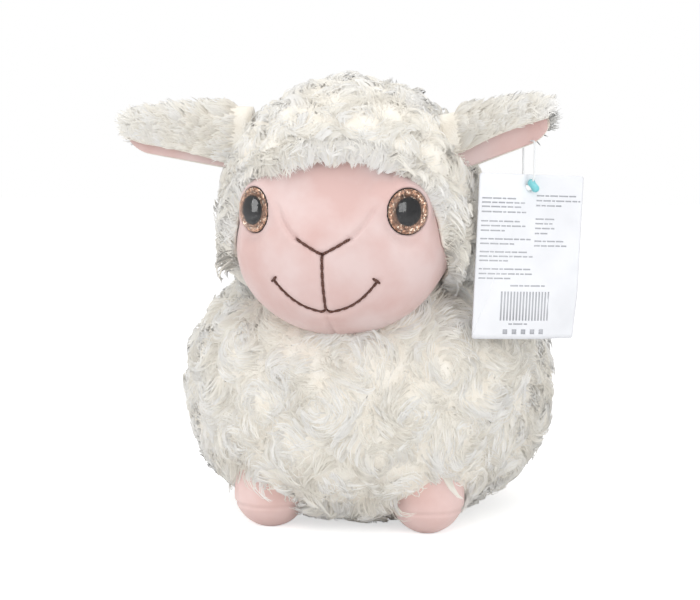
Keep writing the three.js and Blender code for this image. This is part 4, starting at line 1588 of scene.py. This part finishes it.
@dataclass
class Eye:
    """A safety eye: clear dome, glitter ring, black pupil, and the back with its stem."""

    side: Side
    radius: float = 12.0
    back: float = 1.4
    plate: float = 0.75  # how far the dome's flat back lies over the back
    sunk: float = 0.08  # the same for the ring and the pupil
    dome: float = 4.2
    rim: float = 0.7
    wall: float = 0.4
    ring_outer: float = 11.5
    ring_height: float = 0.8
    pupil: float = 6.9
    around: int = 72

    def build(self) -> None:
        """Adds the four visible pieces; the washer stays as it is."""
        socket = EyeSocket(self.side)
        name = f"eye_{self.side.word}"
        parts = {
            "dome": (self.lens(), EYE_CLEAR, "eye_clear", "lens"),
            "ring": (self.ring(), GLITTER, "eye_glitter", "iris"),
            "black": (self.black(), PUPIL_BLACK, "eye_black", "pupil"),
            "back": (self.post(), EYE_BLACK, "eye_black", "stem"),
        }
        for title, (shape, finish, slot, node) in parts.items():
            placed = Shape(socket.placed(shape.points), shape.faces)
            nodes = (f"{name}_{node}",)
            piece = add_piece(f"{name}_{title}", placed, finish, "torso", nodes)
            if title == "dome":
                piece.visible_shadow = False

    def lens(self) -> Shape:
        """The dome: a quarter of an ellipse turned about the axis over a short straight rim."""
        low = self.back + self.plate
        radius = self.radius - self.wall - 0.05
        angle = np.linspace(np.pi / 2, 0, 24)[:-1]
        curve_ = np.stack([radius * np.cos(angle), low + self.rim + self.dome * np.sin(angle)], -1)
        edge = [[radius, low + self.rim], [radius, low + 0.15], [radius - 0.2, low], [0, low]]
        return lathe(np.concatenate([[[0, low + self.rim + self.dome]], curve_[1:], edge]), self.around)

    def ring(self) -> Shape:
        """The glitter ring: a small closed profile turned about the axis, up to the dome's flat back."""
        low = self.back + self.sunk
        high = low + self.ring_height
        profile = [[self.pupil, low], [self.ring_outer, low], [self.ring_outer, high], [self.pupil, high]]
        return Shape(spun(np.array(profile), self.around), [ring_faces(len(profile), self.around)])

    def black(self) -> Shape:
        """The pupil: a low disc up to the dome's flat back."""
        low = self.back + self.sunk
        profile = [[0, low + 0.95], [self.pupil - 0.8, low + 0.92], [self.pupil, low + 0.85]]
        profile += [[self.pupil + 0.1, low + 0.2], [self.pupil, low], [0, low]]
        return lathe(np.array(profile), self.around)

    def post(self) -> Shape:
        """The back: a shallow cup that holds the dome, on a ringed stem."""
        inner, lip = self.radius - self.wall, self.back + self.plate + self.rim
        profile = [[0, self.back], [inner, self.back], [inner, lip], [inner + 0.15, lip + 0.2]]
        profile += [[self.radius - 0.1, lip], [self.radius, lip - 0.3], [self.radius, 0.2]]
        profile += [[self.radius - 0.3, 0], [2.5, 0], [2.5, -7.5], [2.85, -9.2], [2.5, -9.4], [2.5, -11.2]]
        profile += [[2.85, -13.0], [2.5, -13.2], [2.5, -14.6], [2.1, -15], [0, -15]]
        return lathe(np.array(profile), self.around)


@dataclass
class Ear:
    """A folded ear: fleece over the top edge, and its velour lining below."""

    side: Side
    length: float
    root_half: float  # half of its height at the root
    tilt: float
    root_cover: float  # share of its front that the coat covers at the root
    tip_cover: float  # the same at the tip
    tip_half: float = 10.0
    half_thick: float = 9.5
    slit: float = 0.2
    lining: float = 1.5
    gap: float = 0.3
    tip_round: float = 12.0
    tip_end: float = 0.92
    rise: float = 32.5
    stand: float = 3.5
    ahead: float = 13.0
    start: float = -12.0  # where its layers start, inside the head
    strands: int = 3200
    stations: int = 30
    steps: int = 22
    fleece: Fleece = field(
        default_factory=lambda: Fleece(
            tuft=5.0, height=4.8, travel=10.0, gather=0.6, radius=0.38, seed=SEED + 20
        )
    )

    @property
    def body(self) -> str:
        """The body that the ear moves with."""
        return f"ear_{self.side.word}"

    def placed(self, points: Array) -> Array:
        """Points of the left ear's own frame, set on the head and mirrored for the right ear.

        Args:
            points: The points, with x along the ear.

        Returns:
            The points in the world's frame.
        """
        x, z = rotated(points[..., 0], points[..., 2], self.tilt)
        rise, reach = math.radians(self.rise), HEAD.radius + 11 + self.stand
        x, z = x + reach * math.cos(rise), z + reach * math.sin(rise)
        return HEAD.middle + np.stack([self.side.value * x, points[..., 1] - self.ahead, z], -1)

    def flap_ends(self, station: Array) -> tuple[Array, Array, Array, Array]:
        """Where the folded layers end at stations, with the tip rounded as a circle is.

        Args:
            station: Distances along the ear.

        Returns:
            Heights of the crown, the back end and the front end, and the half thickness.
        """
        along = np.clip(station / self.length, 0, 1)
        tip = np.clip((station - self.length + self.tip_round) / self.tip_round, 0, 1)
        round_ = np.sqrt(1 - (self.tip_end * tip) ** 2)
        half = (self.root_half + (self.tip_half - self.root_half) * along) * round_
        crown = half - self.half_thick * round_
        cover = self.root_cover + (self.tip_cover - self.root_cover) * along
        front = crown - np.maximum(cover * (crown + half), 0.4)
        return crown, -half, front, self.half_thick * round_

    def on_fold(self, station: Array, place: Array, radius: Array) -> tuple[Array, Array, Array]:
        """Points over the fold: up the back, round the crown and down the front.

        Args:
            station: Distances along the ear.
            place: Shares of the way over the fold.
            radius: Distance from the fold's middle plane.

        Returns:
            The points, the normals and how far each point is past the crown, from 0 to 1.
        """
        crown, back, front, _ = self.flap_ends(station)
        up, over, down = crown - back, np.pi * radius, crown - front
        way = place * (up + over + down)
        angle = np.clip((way - up) / np.maximum(radius, 1e-6), 0, np.pi)
        z = np.where(way < up, back + way, crown + radius * np.sin(angle))
        z = np.where(way > up + over, crown - (way - up - over), z)
        points = np.stack([station, radius * np.cos(angle), z], -1)
        normal = np.stack([0 * station, np.cos(angle), np.sin(angle)], -1)
        return points, normal, angle / np.pi

    def layer(self, outer: Callable[[Array], Array], inner: float, inset: float, end: float) -> Shape:
        """One folded layer as a closed shell.

        Args:
            outer: Distance of the outside from the middle plane.
            inner: Distance of the inside.
            inset: How far the layer ends inside the flap's own ends.
            end: Last station.

        Returns:
            The shell in the world's frame.
        """
        share = np.linspace(0, 1, self.stations) ** 0.85
        station = self.start + (end - self.start) * share
        a, b = np.meshgrid(station, np.linspace(0, 1, self.steps * 2), indexing="ij")
        crown, back, front, thick = self.flap_ends(a)
        pull = inset / np.maximum(crown - back + crown - front + np.pi * thick, 1)
        b = pull + b * (1 - 2 * pull)
        edge = ease(np.minimum(b - pull, 1 - pull - b) * 14)
        outside = inner + (outer(thick) - inner) * (0.35 + 0.65 * edge)
        outer_points, _, _ = self.on_fold(a, b, outside)
        inner_points, _, _ = self.on_fold(a, b, np.full_like(a, inner))
        rows = np.concatenate([outer_points, inner_points[:, ::-1]], axis=1)
        points = capped(rows)
        points[-1, 0] += 0.6
        shape = Shape(self.placed(points), ball_faces(self.stations, rows.shape[1]))
        return shape if self.side is Side.LEFT else shape.flipped()

    def backing_radius(self, thick: Array) -> Array:
        """Outside of the backing that the strands stand on."""
        return 2.4 + 0.42 * (thick - 2.0)

    def build(self) -> None:
        """Adds the fleece backing, the strands and the lining."""
        name, middle = self.body, self.lining + self.slit
        backing = self.layer(self.backing_radius, middle + self.gap, 0.0, self.length)
        piece = add_piece(f"{name}_backing", backing, SHADED_FLEECE_BACKING, name, (f"{name}_coat",))
        inside = self.layer(lambda thick: 0 * thick + middle, self.slit, 1.2, self.length - 1.4)
        add_piece(f"{name}_velour", inside, VELOUR, name, (f"{name}_lining",))
        self.fleece.dress(f"{self.body}_locks", self.grown(), self.body)

    def grown(self) -> Strands:
        """Strands over the fold, combed outwards and up, and gathered in tufts.

        Returns:
            The strands in the world's frame.
        """
        rng = np.random.default_rng(self.fleece.seed + self.side.value)

        def rooted(count: int) -> tuple[Array, Array]:
            """Strands rooted by chance over the fold.

            Args:
                count: How many.

            Returns:
                Their paths, and the normals that they are shaded by.
            """
            station = rng.uniform(-4, self.length - 0.5, count)
            place = rng.uniform(0.07, 0.99, count)
            _, _, _, thick = self.flap_ends(station)
            root, normal, over = self.on_fold(station, place, self.backing_radius(thick) - 0.3)
            tip = ease((station - self.length + 16) / 12)[:, None]
            aside = np.where(normal[:, 1:2] < 0.3, [0.8, -1.0, 1.0], [0.4, -0.6, 2.0])
            shown = unit(normal + tip * aside)
            along = np.array([1.0, 0.0, 0.0])
            lean = (rng.normal(0.45, 0.35, count) * ease(station / 30 + 0.3))[:, None]
            heading = along * np.cos(lean) + UP * np.sin(lean)
            heading = unit(heading - 0.8 * (heading * normal).sum(-1, keepdims=True) * normal)
            turn = rng.normal(0, 0.7, count)
            travel = self.fleece.travel * rng.uniform(0.6, 1.1, count) * (1 - 0.35 * (over > 0.9))
            ground = arcs(root, normal, heading, turn, travel)
            crown_gain = 1 + 0.35 * np.sin(np.pi * over) * ease(station / 30)
            rise = self.fleece.height * rng.uniform(0.6, 1.05, count) * crown_gain * (thick / self.half_thick)
            rise *= np.where(over > 0.9, 0.62, 1.0)
            profile = np.array([0.0, 0.6, 0.9, 1.0, 1.0])
            return ground + normal[:, None] * (rise[:, None] * profile)[..., None], shown

        tuft_paths, _ = rooted(int(self.strands / 13))
        own, up = rooted(self.strands)
        strands = self.fleece.gathered(own, up, tuft_paths, rng)
        origin = self.placed(np.zeros(3))
        ups, leans = (self.placed(ways) - origin for ways in (strands.ups, strands.leans))
        return Strands(self.placed(strands.paths), ups, strands.tones, leans)


@dataclass
class Foot:
    """A velour foot: a ball where it is held, fuller below, with a seam round the sole."""

    side: Side
    front: bool
    aside: float = 43.5
    ahead: float = 64.0
    hinge: float = 21.0
    radius: float = 20.0
    seam: float = 13.0
    rings: int = 72
    around: int = 96

    @property
    def name(self) -> str:
        """The foot's name, which is its body's name."""
        return f"foot_{'front' if self.front else 'rear'}_{self.side.word}"

    def form(self) -> Egg:
        """The foot's form about its hinge line."""
        y = BODY.middle[1] + (-1 if self.front else 1) * self.ahead
        middle = np.array([self.side.value * self.aside, y, self.hinge])
        return Egg(middle, self.radius, self.radius, self.radius, self.hinge + 0.5, 2.0, 2.2)

    def zone(self) -> Zone:
        """The space that the foot swings in, with room for its pile."""
        corner = 2 ** (0.5 - 1 / 2.2)
        return Zone(self.form().middle, (self.hinge + 0.5) * corner + 1.2)

    def build(self) -> None:
        """Adds the stuffed foot, drawn in along the sole's seam and gathered above it.

        The groove, the swell and the gathers each fade by the bell curve of the height over the seam.
        """
        form = self.form()
        rays = ball_rays(self.rings, self.around)
        points = form.skin(rays)
        over = points[:, 2] - self.seam
        turn = np.arctan2(rays[:, 1], rays[:, 0])
        groove = -0.75 * np.exp(-((over / 0.8) ** 2))
        swell = 0.3 * np.exp(-((over / 4.0) ** 2))
        gathers = 0.22 * np.sin(11 * turn + 3 * np.sin(2 * turn)) * np.exp(-(((over - 3) / 3.0) ** 2))
        soft = 0.9 * (CLOUDS.at(points, 11.0) - 0.5)
        points = points + form.normal(rays) * (groove + swell + gathers + soft)[:, None]
        points = Floor(0.1)(points)
        nodes = tuple(f"{self.name}_{part}" for part in ("upper", "sole", "filling"))
        shape = Shape(points, ball_faces(self.rings, self.around))
        piece = add_piece(f"{self.name}_stuffed", shape, LIGHTENED_FEET_VELOUR, self.name, nodes)


@dataclass
class Tail:
    """The short fleece tail."""

    radius: float = 15.0
    length: float = 27.0
    rise: float = 9.0
    sink: float = 5.5
    tilt: float = 55.0
    rings: int = 40
    around: int = 56
    strands: int = 1700
    area: float = 4400.0
    fleece: Fleece = field(
        default_factory=lambda: Fleece(
            tuft=4.6, base=-5.0, height=5.4, travel=8.5, hang=0.5, seed=SEED + 30
        )
    )

    def build(self) -> None:
        """Adds the stuffed tail and its strands."""
        rise = math.radians(self.rise)
        outward = np.array([0.0, math.cos(rise), math.sin(rise)])
        middle = BODY.middle + outward * (BODY.reach(outward[None], 0.0)[0] - self.sink)
        form = Egg(middle, self.radius, self.radius, self.radius, self.length, tilt=self.tilt)
        rays = ball_rays(self.rings, self.around)
        faces = ball_faces(self.rings, self.around)
        shape = Shape(form.skin(rays, self.fleece.base + 1.2), faces)
        nodes = ("tail_coat", "tail_filling")
        piece = add_piece("stuffed_tail", shape, SHADED_FLEECE_BACKING, "tail", nodes)
        lean = math.radians(self.tilt)
        axis = np.array([0.0, math.sin(lean), -math.cos(lean)])

        def accept(points: Array) -> Array:
            """Roots beyond the hinge line."""
            return (points - middle) @ axis > 0

        quilt = Quilt(axis=2, around=4, rows=4, depth=0.6)
        strands = self.fleece.grown(Quilted(form, quilt), self.strands, self.area, accept)
        self.fleece.dress("tail_locks", strands, "tail")


@dataclass
class HangTag:
    """The paper tag on its nylon loop, with a snap lock."""

    hinge: Triple = (96.75, -66.5, 212.3)
    yaw: float = 30.0
    width: float = 60.0
    height: float = 87.0
    thick: float = 0.7
    corner: float = 1.5
    hole_radius: float = 2.0
    hole_drop: float = 6.4
    hole_aside: float = 28.0
    loop_top: float = -0.6
    loop_drop: float = 23.0
    loop_half: float = 7.0
    loop_corner: float = 2.0
    wire: float = 0.5
    lean: float = 2.5
    lock_radius: float = 2.1
    lock_ahead: float = 3.6  # how far in front of the loop's middle the lock sits on it
    print_half: float = 0.38  # half the height of a printed line
    print_gap: float = 0.7  # between two of its bars

    @property
    def across(self) -> Array:
        """The direction across the card, to the sheep's left."""
        yaw = math.radians(self.yaw)
        return np.array([math.cos(yaw), math.sin(yaw), 0.0])

    def placed(self, points: Array) -> Array:
        """Points of the tag's frame, with -Y out of its face, set at the hole in the ear."""
        x, y = rotated(points[..., 0], points[..., 1], self.yaw)
        return np.array(self.hinge) + np.stack([x, y, points[..., 2]], -1)

    @property
    def hole(self) -> float:
        """Height of the card's hole in the tag's frame."""
        return self.loop_top - self.loop_drop + self.wire + 0.5 - self.hole_radius

    def slab(self) -> Slab:
        """The space of the card and three millimetres round it, which strands stay behind."""
        half_width, half_height = self.width / 2, self.height / 2
        middle = np.array([half_width - self.hole_aside, 0.0, self.hole + self.hole_drop - half_height])
        return Slab(self.placed(middle), self.across, UP, half_width + 3, half_height + 3, 4.0)

    def bent(self, x: Array, z: Array, out: Array) -> Array:
        """The flat card hung a little askew and bowed, with one lower corner curled back.

        Args:
            x: Places across the card from its hole.
            z: Places up the card from its hole.
            out: Height over the card's middle plane, towards its face.

        Returns:
            Points of the card in the world's frame.
        """
        turned_x, turned_z = rotated(x, z, -self.lean)
        bow = 1.1 * ((x - 2) / (self.width / 2)) ** 2
        curl = 3.2 * ease((x - 8) / 24) * ease((-z - 52) / 30)
        return self.placed(np.stack([turned_x, -out + bow + curl - 0.4, turned_z + self.hole], -1))

    def build(self) -> None:
        """Adds the card, its print, the loop and the lock."""
        add_piece("tag_card_paper", self.card(), CARD, "tag", ("tag_card",))
        add_piece("tag_card_print", self.print(), PRINT, "tag")
        add_piece("tag_loop_wire", self.loop(), NYLON, "tag_string", ("tag_loop",))
        add_piece("tag_snap_lock", self.lock(), LOCK, "tag_string", ("tag_lock",))

    def outline(self) -> Array:
        """The card's outline from its hole: four straight sides and four round corners."""
        left, right = -self.hole_aside, self.width - self.hole_aside
        high, low = self.hole_drop, self.hole_drop - self.height
        corners = [(right, high, 0), (left, high, 1), (left, low, 2), (right, low, 3)]
        parts = []
        for x, z, quarter in corners:
            angle = np.pi / 2 * (quarter + np.linspace(0, 1, 7))
            middle = np.array([x - math.copysign(self.corner, x), z - math.copysign(self.corner, z)])
            parts.append(middle + self.corner * np.stack([np.cos(angle), np.sin(angle)], -1))
        points = np.concatenate(parts + [parts[0][:1]])
        way = travelled(points)
        places = np.unique(np.concatenate([way[:-1], np.linspace(0, way[-1], 150, endpoint=False)]))
        return np.stack([np.interp(places, way, points[:, axis]) for axis in (0, 1)], -1)

    def card(self) -> Shape:
        """The card: rings from its hole out to its outline, on the face and then on the back."""
        outline = self.outline()
        inner = self.hole_radius * unit(outline)
        share = np.linspace(0, 1, 36)[:, None, None] ** 1.2
        flat = inner + (outline - inner) * share
        half = self.thick / 2
        face = self.bent(flat[..., 0], flat[..., 1], np.full(flat.shape[:2], half))
        back = self.bent(flat[..., 0], flat[..., 1], np.full(flat.shape[:2], -half))
        rows = np.concatenate([face, back[::-1]])
        return Shape(rows.reshape(-1, 3), [ring_faces(len(rows), len(outline))[:, ::-1]])

    def bar(self, left: float, right: float, low: float, high: float) -> Shape:
        """A thin printed bar that follows the card.

        Args:
            left: Its left end from the hole.
            right: Its right end.
            low: Its lower edge from the hole.
            high: Its upper edge.

        Returns:
            The bar in the world's frame.
        """
        count = max(2, int((right - left) / 2.0) + 1)
        across = np.linspace(left, right, count)
        ring = [(low, 0.37), (high, 0.37), (high, 0.30), (low, 0.30)]
        rows = np.stack([self.bent(across, np.full(count, z), np.full(count, out)) for z, out in ring], 1)
        return Shape(capped(rows), ball_faces(count, 4))

    def print(self) -> Shape:
        """Plain bars in two columns, a block of even stripes and a row of dots."""
        rng = np.random.default_rng(SEED)
        marks: list[tuple] = []
        left_rows = [(-6.5, 20), (-8.7, 24), (-10.9, 22), (-13.6, 25), (-18.5, 22), (-20.9, 25)]
        left_rows += [(-23.4, 14), (-27.8, 30), (-30.3, 19), (-34.6, 28), (-36.9, 30), (-39.2, 16)]
        left_rows += [(-43.6, 29), (-46.1, 30), (-48.5, 18)]
        right_rows = [(-4.6, 24), (-7.2, 26), (-9.8, 15), (-16.9, 12), (-19.3, 10), (-21.8, 12), (-24.5, 9)]
        right_rows += [(-28.6, 17), (-31.0, 19)]
        for start, rows in ((-26.0, left_rows), (4.6, right_rows), (-8.0, [(-52.3, 20), (-72.6, 11)])):
            for z, wide in rows:
                marks += self.line(start, start + wide, z, rng)
        marks += [(x, x + 0.9, -70.8, -55.4) for x in np.arange(-13.0, 15.0, 1.8)]
        marks += [(x, x + 2.6, -78.0, -75.4) for x in np.arange(-11.0, 12.0, 5.2)]
        return joined([self.bar(*mark) for mark in marks])

    def line(self, left: float, right: float, z: float, rng: Chance) -> list[tuple]:
        """A line of bars of chance lengths, with small gaps between them.

        Args:
            left: Its left end from the hole.
            right: Its right end.
            z: Its height from the hole.
            rng: Source of the lengths.

        Returns:
            Left end, right end, lower edge and upper edge of each bar.
        """
        marks = []
        while left < right - 1.0:
            end = min(right, left + rng.uniform(1.5, 5.5))
            marks.append((left, end, z - self.print_half, z + self.print_half))
            left = end + self.print_gap
        return marks

    def loop(self) -> Shape:
        """The nylon loop: straight through the ear, round where the card hangs."""
        top, low = self.loop_top, self.loop_top - self.loop_drop
        corner, turn = self.loop_half - self.loop_corner, low + self.loop_half
        quarter = np.linspace(0, np.pi / 2, 8)
        drop = self.loop_corner * (1 - np.cos(quarter))
        right = np.stack([corner + self.loop_corner * np.sin(quarter), top - drop], -1)
        half = np.linspace(0, np.pi, 28)
        bottom = np.stack([self.loop_half * np.cos(half), turn - self.loop_half * np.sin(half)], -1)
        left = np.stack([-right[::-1, 0], right[::-1, 1]], -1)
        flat = np.concatenate([right, bottom, left])
        path = self.placed(np.stack([0 * flat[:, 0], flat[:, 0], flat[:, 1]], -1))
        ahead = unit(np.roll(path, -1, axis=0) - np.roll(path, 1, axis=0))
        outward = np.cross(ahead, self.across)
        angle = full_turn(10)
        rings = path[:, None] + self.wire * (
            np.cos(angle)[None, :, None] * self.across + np.sin(angle)[None, :, None] * outward[:, None]
        )
        return Shape(rings.reshape(-1, 3), [ring_faces(len(path), len(angle))])

    def lock(self) -> Shape:
        """The snap lock: a ball on the wire and a ball beside it, as one turned form."""
        turn_height = self.loop_top - self.loop_drop + self.loop_half
        drop = math.sqrt(self.loop_half**2 - self.lock_ahead**2)
        start = np.array([0.0, -self.lock_ahead, turn_height - drop])
        end = start + np.array([1.9, -0.7, -2.8])
        length = float(np.linalg.norm(end - start))
        angle = np.linspace(0, np.pi, 40)
        upper, lower, reach = angle[1:24], angle[14:-1], self.lock_radius
        height = [[length + reach], length + reach * np.cos(upper), reach * np.cos(lower), [-reach]]
        height = np.concatenate(height)
        radius = np.concatenate([[0], reach * np.sin(upper), reach * np.sin(lower), [0]])
        order = np.argsort(-height, kind="stable")
        shape = lathe(np.stack([radius, height], -1)[order], 32)
        axis = unit(end - start)
        across = unit(np.cross([0.0, 1.0, 0.0], axis))
        beside = np.cross(axis, across)
        x, y, z = shape.points[:, :1], shape.points[:, 1:2], shape.points[:, 2:]
        return Shape(self.placed(start + x * across + y * beside + z * axis), shape.faces)


@dataclass(frozen=True)
class Lamp:
    """A soft square lamp aimed at the toy's middle."""

    name: str
    place: Triple
    size: float
    power: float  # in watts
    aim: Triple = (0, -20, 120)

    def build(self) -> None:
        """Adds the lamp."""
        light = bpy.data.lights.new(self.name, "AREA")
        light.size = self.size * MM
        light.energy = self.power
        holder = bpy.data.objects.new(self.name, light)
        holder.location = Vector(self.place) * MM
        holder.rotation_euler = (Vector(self.aim) * MM - holder.location).to_track_quat("-Z", "Y").to_euler()
        bpy.context.scene.collection.objects.link(holder)


@dataclass(frozen=True)
class Studio:
    """The camera at the photograph's viewpoint, a pale floor and soft lamps."""

    eye: Triple = (180.2, -987.5, 232.0)
    aim: Triple = (-10.1, -8.3, 119.0)
    lens: float = 90.05
    plain: float = 0.7  # strength of the world's light on the toy
    floor_half: float = 3000.0
    floor_grey: float = 0.82
    floor_glow: float = 0.6
    lamps: tuple[Lamp, ...] = (
        Lamp("key", (100, -820, 760), 620, 1.9),
        Lamp("front", (60, -1050, 160), 700, 0.2),
        Lamp("window", (700, -720, 290), 320, 1.9),
        Lamp("side", (-860, -420, 260), 340, 2.2),
        Lamp("top", (0, -60, 950), 700, 2.6),
    )

    def build(self) -> None:
        """Adds the camera, the lamps, the world and the floor."""
        scene = bpy.context.scene
        scene.view_settings.view_transform = "Standard"
        camera = bpy.data.cameras.new("camera")
        camera.lens = self.lens
        camera.sensor_width = 36.0
        camera.clip_start = 0.05
        camera.clip_end = 30.0
        holder = bpy.data.objects.new("camera", camera)
        holder.location = Vector(self.eye) * MM
        holder.rotation_euler = (Vector(self.aim) - Vector(self.eye)).to_track_quat("-Z", "Y").to_euler()
        scene.collection.objects.link(holder)
        scene.camera = holder
        for lamp in self.lamps:
            lamp.build()
        self.world()
        self.floor()

    def seen(self, nodes: Nodes) -> Socket:
        """One for rays that show the background: seen straight, mirrored or through clear plastic.

        Args:
            nodes: The tree that the nodes are added to.

        Returns:
            The socket with the mask.
        """
        path = nodes.add("ShaderNodeLightPath").outputs
        straight = nodes.maths("MAXIMUM", path["Is Camera Ray"], path["Is Glossy Ray"])
        return nodes.maths("MAXIMUM", straight, path["Is Transmission Ray"])

    def world(self) -> None:
        """White to the camera and in reflections, and a plain pale light on the toy."""
        world = bpy.data.worlds.new("studio")
        nodes = emptied(world)
        plain = nodes.add("ShaderNodeBackground", {"Color": (0.99, 0.995, 1.0, 1), "Strength": self.plain})
        white = nodes.add("ShaderNodeBackground", {"Color": (1, 1, 1, 1), "Strength": 1.0})
        mixed = nodes.blend(self.seen(nodes), plain.outputs[0], white.outputs[0])
        nodes.add("ShaderNodeOutputWorld", {"Surface": mixed})
        bpy.context.scene.world = world

    def floor(self) -> None:
        """A wide floor that looks white but keeps the toy's shadow."""
        half, grey = self.floor_half, self.floor_grey
        points = np.array([[-half, -half, 0], [half, -half, 0], [half, half, 0], [-half, half, 0]])
        mesh = bpy.data.meshes.new("floor")
        mesh.from_pydata((points * MM).tolist(), [], [(0, 1, 2, 3)])
        material = bpy.data.materials.new("Floor")
        nodes = emptied(material)
        matt = nodes.add("ShaderNodeBsdfDiffuse", {"Color": (grey, grey, grey, 1)})
        lit = nodes.maths("MULTIPLY", self.seen(nodes), self.floor_glow)
        glow = nodes.add("ShaderNodeEmission", {"Color": (1, 1, 1, 1), "Strength": lit})
        both = nodes.add("ShaderNodeAddShader", {0: matt.outputs[0], 1: glow.outputs[0]})
        nodes.add("ShaderNodeOutputMaterial", {"Surface": both.outputs[0]})
        mesh.materials.append(material)
        floor = bpy.data.objects.new("floor", mesh)
        bpy.context.scene.collection.objects.link(floor)


def finish_washers() -> None:
    """Gives the washers behind the eyes their plastic."""
    for side in Side:
        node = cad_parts[f"eye_{side.word}_washer"]
        node.data.materials.clear()
        node.data.materials.append(WASHER_PLASTIC.material())


def main() -> None:
    """Builds the toy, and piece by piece."""
    logging.basicConfig(level=logging.INFO, format="%(name)s: %(message)s")
    grain_group()
    Studio().build()
    tag = HangTag()
    feet = [Foot(side, front) for front in (True, False) for side in Side]
    ears = [
        Ear(Side.LEFT, 44.0, root_half=17.0, tilt=12.0, root_cover=0.63, tip_cover=0.125, strands=2900),
        Ear(Side.RIGHT, 58.0, root_half=19.0, tilt=1.0, root_cover=0.9, tip_cover=0.56, strands=3400),
    ]
    eye_zones = [Zone(EyeSocket(side).seat() + 3 * EyeSocket(side).outward(), 12.6) for side in Side]
    Coat().build(feet, [tag.slab()])
    Hood().build([*eye_zones, tag.slab()])
    Face().build()
    for side in Side:
        Eye(side).build()
    for ear in ears:
        ear.build()
    for foot in feet:
        foot.build()
    Tail().build()
    tag.build()
    finish_washers()


if __name__ == "__main__":
    main()
